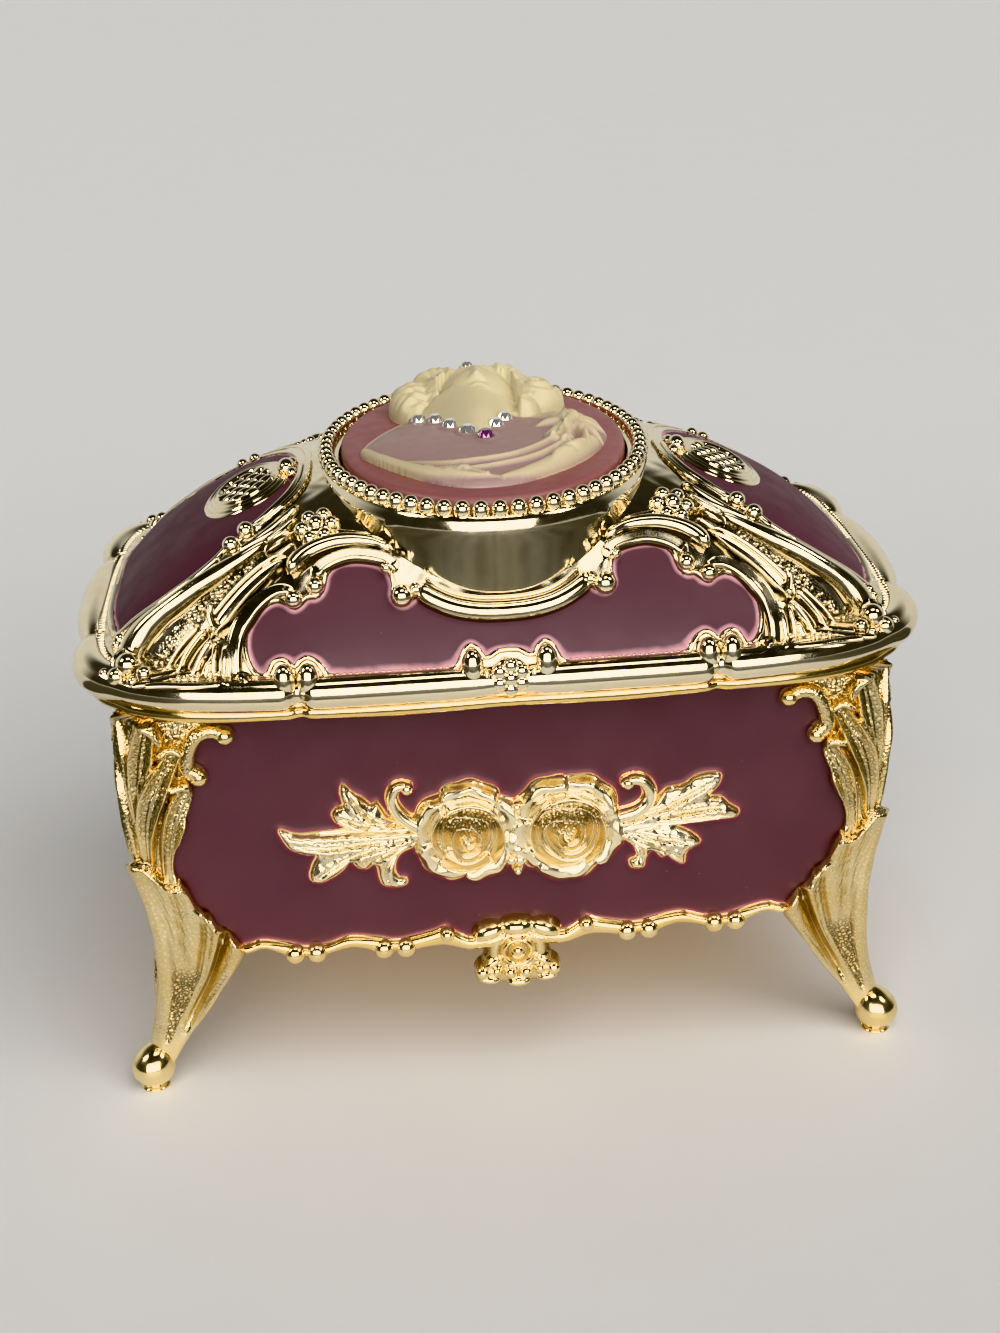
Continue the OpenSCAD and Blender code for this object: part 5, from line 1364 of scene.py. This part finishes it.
# lower end of the neck, where the necklace lies
neck_x = np.linspace(-9, 9, 181)
neck_y = np.interp(neck_x, [-9, -6.5, -4.8, -3.4, -1.7, 0, 1.4, 2.5, 4.0, 6.0, 9], [5.8, 4.0, 2.0, -0.6, -3.1, -5.0, -1.4, 1.0, 2.6, 3.6, 4.2])
neck_soft = np.convolve(np.pad(neck_y, 24, "edge"), np.hanning(49) / np.hanning(49).sum(), "valid")
neckline = lambda x: np.interp(x, neck_x, neck_y)
seats = []


def bust_sdf(P):
    _, d, _ = near(np.column_stack([P, np.zeros(len(P))]), np.column_stack([np.vstack([body_line, body_line[:1]]), np.zeros(len(body_line) + 1)]), 60)
    d = np.where(inside(P, body_line), -d, d)
    for e in HAIR:
        d = np.minimum(d, ell(P, *e))
    return d


bust_thin = None


def bust_h(P, depth):
    global bust_thin
    x, y = P[:, 0], P[:, 1]
    _, bd, _ = near(np.column_stack([P, np.zeros(len(P))]), np.column_stack([np.vstack([body_line, body_line[:1]]), np.zeros(len(body_line) + 1)]), 60)
    bd = np.where(inside(P, body_line), bd, 0)
    chest = 0.35 * np.sqrt(np.clip(bd / 0.5, 0, 1)) + 1.35 * (1 - np.exp(-bd / 2.5))
    hh = np.where(bd > 0, chest, 0.0)
    # neck
    up_ = (y - np.interp(x, neck_x, neck_soft)) * 0.6
    neck = 1.60 + 3.1 * (1 - np.exp(-np.clip(up_ + 0.2, 0, 20) / 3.4)) - 0.045 * (x + 0.7) ** 2
    hh = np.where((up_ > -0.2) & (y < 9) & (bd > 0), np.maximum(hh, neck), hh)
    ridge = np.zeros(len(P))

    def line(pts, w, H, base=0.0):
        nonlocal hh
        L = cr([(p[0], p[1], 0.0) for p in pts], 8)
        idx, d, t = near(np.column_stack([P, np.zeros(len(P))]), L, (max(q[1] for q in w)) * 1.2)
        r = np.clip(d / np.maximum(table(t, w), 1e-3), 0, 1)
        v = table(t, H) * np.sqrt(1 - r**2)
        hh[idx] = np.where(r < 1, np.maximum(hh[idx], 0) + v if base == 0 else np.maximum(hh[idx], base + v), hh[idx])
        ridge[idx] = np.maximum(ridge[idx], np.where(r < 1, np.sqrt(1 - r**2), 0))

    # drapery
    line([(-12.8, -4.4), (-10.8, -8.6), (-7.2, -12.8), (-3.0, -15.3), (0.8, -16.0)], W(0.4, 0.8, 0.8, 0.6, 0.12), W(0.3, 0.65, 0.6, 0.5, 0.1))
    line([(0.9, -16.0), (3.4, -15.0), (5.8, -13.2), (8.8, -9.8), (10.9, -6.4)], W(0.3, 0.85, 1.1, 1.2, 1.0), W(0.2, 0.5, 0.55, 0.6, 0.55))
    line([(-8.6, -10.2), (-4.0, -12.6), (1.0, -12.2), (5.0, -9.4), (8.4, -4.6)], W(0.15, 0.28, 0.32, 0.35, 0.4), W(0.2, 0.40, 0.45, 0.5, 0.5))
    line([(-4.6, -14.3), (0.6, -13.9), (5.0, -11.4), (8.8, -6.6)], W(0.15, 0.28, 0.35, 0.35), W(0.2, 0.40, 0.45, 0.4))
    line([(-6.6, -12.6), (-3.4, -14.0), (-0.6, -15.6)], W(0.15, 0.25, 0.2), W(0.2, 0.35, 0.3))
    line([(-12.7, -4.0), (-11.3, -0.6), (-9.6, 2.2), (-8.0, 4.2)], W(0.3, 0.4, 0.4, 0.3), W(0.15, 0.25, 0.25, 0.2))
    # gauze bow on the shoulder: crossing folds
    for p, w_, h_ in (([(9.0, -0.6), (7.4, 0.9), (5.7, 1.1)], 1.05, 0.9), ([(9.0, -1.6), (7.2, -1.9), (5.6, -2.9)], 0.70, 0.7), ([(8.8, -2.6), (7.9, -4.2), (6.6, -5.2)], 0.85, 0.8), ([(9.0, -2.8), (8.7, -5.2), (8.1, -7.2)], 0.60, 0.9), ([(9.3, -2.6), (10.0, -5.0), (10.5, -7.8)], 0.55, 1.0),
                      ([(9.6, -2.4), (11.0, -4.0), (12.2, -5.8)], 0.60, 0.9), ([(9.8, -1.9), (11.4, -2.3), (12.9, -3.1)], 0.55, 0.9), ([(9.8, -1.3), (11.4, -0.7), (12.9, -0.7)], 0.55, 0.9), ([(9.5, -0.8), (10.5, 0.5), (11.8, 1.3)], 0.65, 1.0), ([(9.0, -0.4), (9.3, 1.2), (9.8, 2.4)], 0.60, 0.8),
                      ([(6.2, -6.4), (7.4, -7.4), (9.2, -7.6)], 0.50, 0.6), ([(9.9, -8.4), (8.6, -9.6), (7.0, -9.8)], 0.55, 0.6), ([(8.4, -10.6), (7.0, -11.4), (6.2, -12.8)], 0.60, 0.5)):
        line(p, W(0.6 * w_, w_, 0.9 * w_, 0.35 * w_), W(0.8 * h_, h_, 0.8 * h_, 0.25 * h_))
    q = np.hypot(x - 9.1, y + 1.7)
    hh = np.where(q < 1.15, np.maximum(hh, 2.2 + 0.75 * np.sqrt(np.clip(1 - (q / 1.15) ** 2, 0, 1)) - 0.22 * np.exp(-(((x - 9.1 + 0.4 * (y + 1.7)) / 0.16) ** 2))), hh)
    ridge = np.where(q < 1.15, 1.0, ridge)
    # hair: combed volumes with strands
    hair = np.zeros(len(P))
    for k, (cx, cy, rx, ry) in enumerate(HAIR):
        e = np.clip(1 - ((x - cx) / rx) ** 2 - ((y - cy) / ry) ** 2, 0, 1)
        top = (4.6, 3.3, 3.8, 3.2, 3.9, 3.9, 3.2)[k]
        hair = np.maximum(hair, top * e**0.42)
    wave = np.arctan2(y - 7.0, x + 0.2)
    strand = 0.16 * np.cos(wave * 26 + 2.2 * np.sin(np.hypot(x, y - 8.5) * 1.3)) + 0.10 * np.cos(wave * 47 + 1.5 * np.sin(np.hypot(x, y - 8.5) * 1.9))
    q = np.hypot(x - 6.6, y - 7.6)
    coil = 0.2 * np.cos(q * 5.2 - 1.0 * np.arctan2(y - 7.6, x - 6.6))
    hair = np.where(hair > 0.4, hair + np.where(q < 2.5, coil, strand) * sstep(0.4, 1.6, hair), hair)
    # head
    fx, fy = (x - 0.1) / 1.18, (y - 8.6) / 1.18
    face = 5.25 * np.sqrt(np.clip(1 - (fx / (3.75 - 0.55 * sstep(-0.5, -4.6, fy))) ** 2 - (fy / np.where(fy > 0, 4.7, 5.0)) ** 2, 0, 1))
    gs = lambda cx, cy, sx, sy: np.exp(-(((fx - cx) / sx) ** 2) - ((fy - cy) / sy) ** 2)
    for s in (1, -1):
        face = face - 0.42 * gs(s * 1.55, 0.15, 0.95, 0.55) * (face > 0.5)
        face = face + 0.30 * gs(s * 1.55, 0.10, 0.62, 0.26) + 0.16 * gs(s * 1.6, 0.85, 1.0, 0.22) - 0.12 * gs(s * 1.55, -0.28, 0.6, 0.10)
        face = face + 0.16 * gs(s * 2.0, -1.6, 0.9, 0.9) + 0.14 * gs(s * 0.52, -2.05, 0.3, 0.28)
    face = face + 0.55 * gs(0, -1.0, 0.36, 1.15) + 0.42 * gs(0, -1.95, 0.46, 0.40) - 0.22 * gs(0, -2.5, 0.8, 0.16)
    face = face + 0.24 * gs(0, -2.95, 0.72, 0.20) - 0.20 * gs(0, -3.14, 0.85, 0.09) + 0.26 * gs(0, -3.36, 0.62, 0.20) + 0.28 * gs(0, -4.25, 0.75, 0.42)
    m_hair = (y > 12.6 - 0.09 * x**2) | (np.abs(fx) > 3.5)
    head = np.where(m_hair, np.maximum(hair, face * 0.9), np.maximum(face, hair * 0.55))
    hh = np.maximum(hh, head)
    for sx_, sy_, sr_ in STONES + [VIOLET]:
        d = np.hypot(x - sx_, y - sy_)
        h0 = hh[d < 0.6].mean()
        seats.append(PZ + h0)
        hh = np.where(d < sr_ + 0.30, np.where(d < sr_ + 0.04, h0, np.maximum(hh, h0 + 0.18)), hh)
    hh = np.minimum(hh, 5.62)
    bust_thin = np.clip((1 - 0.9 * ridge) * sstep(0.3, -0.5, y - neckline(x)) * sstep(0.8, 0.3, hair), 0, 1) * 0.85
    return hh


V, F = plate(bust_sdf, -14.2, 14.2, -17.0, 17.0, 0.19, bust_h, 0.15)
bt = np.zeros(len(V))
bt[: len(bust_thin)] = bust_thin
V = V + [0, 0, PZ]
bust = Part().add(V, F, thin=bt)
build("cameo_relief", facing(bust, (0, 0, 55)), M_IVORY, "lid", "cameo_bust")


def stone(x, y, z, r, hgt=1.0):
    """A round brilliant crown on its girdle."""
    a8 = np.arange(8) * math.pi / 4
    a16 = np.arange(16) * math.pi / 8
    rg = lambda a_, k, zz: np.column_stack([x + r * k * np.cos(a_), y + r * k * np.sin(a_), np.full(len(a_), z + hgt * zz)])
    V = np.vstack([rg(a8, 0.52, 1.0), rg(a8 + math.pi / 8, 0.80, 0.68), rg(a16, 1.0, 0.22), rg(a16, 1.0, 0.08), rg(a16, 0.9, 0.0), [[x, y, z + hgt], [x, y, z]]])
    F = []
    for i in range(8):
        j = (i + 1) % 8
        t0, t1, m0, m1 = i, j, 8 + i, 8 + j
        g0, g1, g2 = 16 + 2 * i, 16 + (2 * i + 1) % 16, 16 + (2 * i + 2) % 16
        F += [(56 + 8, t0, t1), (t0, m0, t1), (m0, g1, g2), (m0, g0, g1), (t0, 8 + (i - 1) % 8, g0), (t0, g0, m0)]
    for i in range(16):
        j = (i + 1) % 16
        F += [(16 + i, 32 + i, 32 + j), (16 + i, 32 + j, 16 + j), (32 + i, 48 + i, 48 + j), (32 + i, 48 + j, 32 + j), (65, 48 + j, 48 + i)]
    return V, np.array(F)


st_ = Part()
for (x_, y_, r_), z_ in zip(STONES, seats):
    st_.add(*stone(x_, y_, z_, r_, 0.85))
build("clear_stones_cut", st_, M_PASTE, "lid", "clear_stones", smooth=False)
build("violet_stone_cut", Part().add(*stone(VIOLET[0], VIOLET[1], seats[-1], VIOLET[2], 0.85)), M_VIOLET, "lid", "violet_stone", smooth=False)

# ------------------------------------------------------------------ soft pieces
# padded board in the lid: crowned face with a corded edge
lin = Part()
kk = np.concatenate([np.linspace(0.0, 0.94, 40), [0.955, 0.97, 0.985, 1.0, 1.0, 0.99, 0.5, 0.0]])
tq = T[::3]
dz = []
for i, k in enumerate(kk):
    e = se(36.9 * k, 21.8 * k, 4.5, tq)
    if i < 40:
        quilt = 0.10 * np.cos(e[:, 0] * 2 * math.pi / 9.2) * np.cos(e[:, 1] * 2 * math.pi / 9.2) * (1 - k**6)
        zz = 44.78 - 0.42 * (1 - k**4) + quilt
    else:
        zz = np.full(len(e), (44.62, 44.52, 44.55, 44.8, 46.2, 46.42, 46.43, 46.43)[i - 40])
    dz.append(np.column_stack([e, zz]))
lin.add(np.vstack(dz), grid_faces(len(tq), len(kk), True))
ob = build("lid_pad", facing(lin, (0, 0, 45.5)), M_VELVET, "lid", "lid_lining")


def roll(name, y0, x0):
    """A stuffed ring roll lying on its flat base: rounded ends and slack wrinkles."""
    nx, na_ = 70, 72
    u = np.linspace(0, 1, nx)
    x = x0 + 0.15 + (0.1 - x0) * u
    a_ = np.arange(na_) * 2 * math.pi / na_
    end = np.minimum(u * (0.3 - x0), (1 - u) * (0.3 - x0))
    k = np.sqrt(np.clip(1 - (1 - np.clip(end / 2.2, 0, 1)) ** 2, 0.0, 1)) * 0.24 + 0.76
    yy = np.cos(a_)[None] * 6.42 * k[:, None]
    zz = np.sin(a_)[None] * 6.42 * k[:, None]
    zz = np.where(zz < -4.1, -4.1 - 0.5 * np.tanh((-4.1 - zz) / 1.2), zz)
    wr = 0.07 * np.sin(x[:, None] * 1.9 + 2.0 * np.sin(a_)[None] + y0) * np.clip(np.sin(a_)[None], 0, 1) + 0.05 * np.sin(x[:, None] * 4.3 + 3 * a_[None])
    V = np.stack([np.broadcast_to(x[:, None], yy.shape), y0 + yy * (1 + wr / 9), 27 + zz * (1 + wr / 9)], -1)
    p = Part().add(V.reshape(-1, 3), grid_faces(na_, nx, True))
    n0 = np.arange(na_)
    c0 = V[0].mean(0) - [0.12, 0, 0]
    c1 = V[-1].mean(0) + [0.05, 0, 0]
    p.V[0] = np.vstack([p.V[0], c0, c1])
    p.n += 2
    p.F.append(np.stack([np.full(na_, nx * na_), (n0 + 1) % na_, n0], -1))
    p.F.append(np.stack([np.full(na_, nx * na_ + 1), (nx - 1) * na_ + n0, (nx - 1) * na_ + (n0 + 1) % na_], -1))
    ob = build(name + "_pad", facing(p, (x.mean(), y0, 26.5)), M_VELVET, "case", name)


roll("ring_roll_front", -13.8, -28.4)
roll("ring_roll_middle", 0.0, -34.8)
roll("ring_roll_rear", 13.8, -28.4)

# ------------------------------------------------------------------ frame parts that keep their shape
LOOK = {
    "hinge_pin": M_STEEL, "jewel_tray": M_FLOCK, "movement_cover": M_CLEAR, "base_plate": M_BASE, "base_screws": M_STEEL, "bedplate": M_ZINC,
    "movement_screws": M_STEEL, "spring_barrel": M_BRASS, "mainspring": M_SPRING, "barrel_cap": M_BRASS, "winding_arbor": M_STEEL, "winding_key": M_BRASS,
    "tune_cylinder": M_BRASS, "tune_pins": M_STEEL, "cylinder_arbor": M_STEEL, "cylinder_pinion": M_BRASS, "cylinder_wheel": M_BRASS, "comb": M_STEEL,
    "comb_screws": M_STEEL, "idler_arbor": M_STEEL, "idler_pinion": M_BRASS, "worm_wheel": M_BRASS, "governor_frame": M_ZINC, "governor_worm": M_STEEL,
    "governor_fan": M_BRASS, "stop_plunger": M_STEEL, "stop_lever": M_STEEL,
}
for n, m in LOOK.items():
    N[n].data.materials.clear()
    N[n].data.materials.append(m)

# ------------------------------------------------------------------ floor, light, camera
m, t, b = shader("paper_floor")
tc = t.nodes.new("ShaderNodeTexCoord")
away = t.nodes.new("ShaderNodeSeparateXYZ")
t.links.new(tc.outputs["Object"], away.inputs[0])
paper = mixc(t, remap(t, noise(t, 9, 4), 0.3, 0.7, 0, 1), (0.755, 0.752, 0.75), (0.725, 0.722, 0.72))
# painted light: the paper is made lighter further back, evening out the floor's brightness
t.links.new(mixc(t, remap(t, away.outputs[1], 0.02, 0.22, 0.0, 1.0, True), paper, (0.805, 0.802, 0.80)), b.inputs["Base Color"])
t.links.new(remap(t, noise(t, 60, 3), 0.3, 0.7, 0.55, 0.7), b.inputs["Roughness"])
bump(t, b, noise(t, 700, 3), 0.05, 0.0001)
me = bpy.data.meshes.new("floor")
s = 4.0
me.from_pydata([(-s, -s, 0), (s, -s, 0), (s, s, 0), (-s, s, 0)], [], [(0, 1, 2, 3)])
me.materials.append(m)
floor = bpy.data.objects.new("floor", me)
bpy.context.scene.collection.objects.link(floor)

w = bpy.data.worlds.new("room")
w.use_nodes = True
bpy.context.scene.world = w
bpy.context.scene.view_settings.view_transform = "Khronos PBR Neutral"
t = w.node_tree
t.nodes.clear()
out = t.nodes.new("ShaderNodeOutputWorld")
bg = t.nodes.new("ShaderNodeBackground")
co = t.nodes.new("ShaderNodeTexCoord")
sep = t.nodes.new("ShaderNodeSeparateXYZ")
t.links.new(co.outputs["Generated"], sep.inputs[0])
# a pale sweep behind the object, a dim room beside it, in front and overhead
depth = remap(t, sep.outputs[1], 0.0, 0.55, 0.04, 1.0, True)
over = remap(t, sep.outputs[2], 0.35, 0.66, 1.0, 0.05, True)
t.links.new(mixc(t, maths(t, "MULTIPLY", depth, over), (0.012, 0.011, 0.010), (0.86, 0.86, 0.84)), bg.inputs["Color"])
bg.inputs["Strength"].default_value = 0.80
t.links.new(bg.outputs[0], out.inputs[0])


def light(name, kind, loc, target, energy, size=None, angle=None, color=(1, 1, 1)):
    d = bpy.data.lights.new(name, kind)
    d.energy = energy
    d.color = color
    if size:
        d.shape = "RECTANGLE"
        d.size, d.size_y = size
    if angle:
        d.angle = math.radians(angle)
    o = bpy.data.objects.new(name, d)
    bpy.context.scene.collection.objects.link(o)
    z = (Matrix.Translation(loc).translation - Matrix.Translation(target).translation).normalized()
    o.matrix_world = Matrix.Translation(loc) @ z.to_track_quat("Z", "Y").to_matrix().to_4x4()
    return o


light("soft_sky", "SUN", (0.35, -0.95, 1.0), (0, 0, 0), 3.35, angle=80, color=(1.0, 0.985, 0.96)).visible_glossy = False
light("front_softbox", "AREA", (-0.03, -0.62, 0.27), (0, 0, 0.05), 7.8, (0.84, 0.42), color=(1.0, 0.985, 0.96)).visible_diffuse = False
light("lamp_left", "AREA", (-0.50, -0.10, 0.50), (0, 0, 0.045), 1.3, (0.13, 0.18), color=(1.0, 0.96, 0.88)).visible_diffuse = False
light("lamp_right", "AREA", (0.46, -0.20, 0.55), (0, 0, 0.045), 1.3, (0.13, 0.18), color=(1.0, 0.96, 0.88)).visible_diffuse = False
light("ceiling_strip", "AREA", (0.02, -0.12, 0.55), (0.0, 0.0, 0.05), 0.44, (0.24, 0.12), color=(1.0, 0.985, 0.96)).visible_diffuse = False
g_ = light("gilt_glow", "AREA", (0, 0, 0.0135), (0, 0, 0), 0.0019, (0.066, 0.040), color=(1.0, 0.56, 0.20))
g_.visible_glossy = g_.visible_camera = False
# a dark sheet before the object, seen only in the polished metal, where it paints dark reflections
m, t, b = shader("dark_front_sheet")
t.links.new(mixc(t, remap(t, noise(t, 30, 2, (1, 0.12, 1)), 0.42, 0.58, 0, 1), (0.022, 0.018, 0.015), (0.076, 0.080, 0.068)), b.inputs["Base Color"])
b.inputs["Roughness"].default_value = 0.9
me = bpy.data.meshes.new("front_flag")
me.from_pydata([(x_, y_, 0.0015) for x_, y_ in ((-0.7, -0.9), (0.7, -0.9), (0.7, -0.12), (-0.7, -0.12), (-0.7, 0.03), (-0.085, 0.03), (-0.085, -0.12), (0.085, -0.12), (0.085, 0.03), (0.7, 0.03))], [], [(0, 1, 2, 3), (3, 6, 5, 4), (7, 2, 9, 8)])
me.materials.append(m)
flag = bpy.data.objects.new("front_flag", me)
bpy.context.scene.collection.objects.link(flag)
flag.visible_camera = flag.visible_diffuse = flag.visible_shadow = flag.visible_transmission = False

yaw, pitch, rolla = map(math.radians, (4.22, 24.22, -2.11))
c_, s_ = math.cos(yaw), math.sin(yaw)
Rz = np.array([[c_, -s_, 0], [s_, c_, 0], [0, 0, 1]])
sp, cp = math.sin(pitch), math.cos(pitch)
C = np.array([[1, 0, 0], [0, -sp, -cp], [0, cp, -sp]])
cr_, sr_ = math.cos(rolla), math.sin(rolla)
Rr_ = np.array([[cr_, -sr_, 0], [sr_, cr_, 0], [0, 0, 1]])
Rm = Rr_ @ C @ Rz
tv = np.array([0.2, 33.1, 225.2])
eye = -Rm.T @ tv * 0.001
Rb = Rm.T @ np.diag([1.0, -1.0, -1.0])
cam = bpy.data.cameras.new("photo_camera")
cam.lens = 1875 * 36 / 1333
cam.sensor_width = 36
cam.clip_start, cam.clip_end = 0.01, 20
co = bpy.data.objects.new("photo_camera", cam)
bpy.context.scene.collection.objects.link(co)
M = Matrix.Identity(4)
for i in range(3):
    for j in range(3):
        M[i][j] = float(Rb[i, j])
    M[i][3] = float(eye[i])
co.matrix_world = M
bpy.context.scene.camera = co
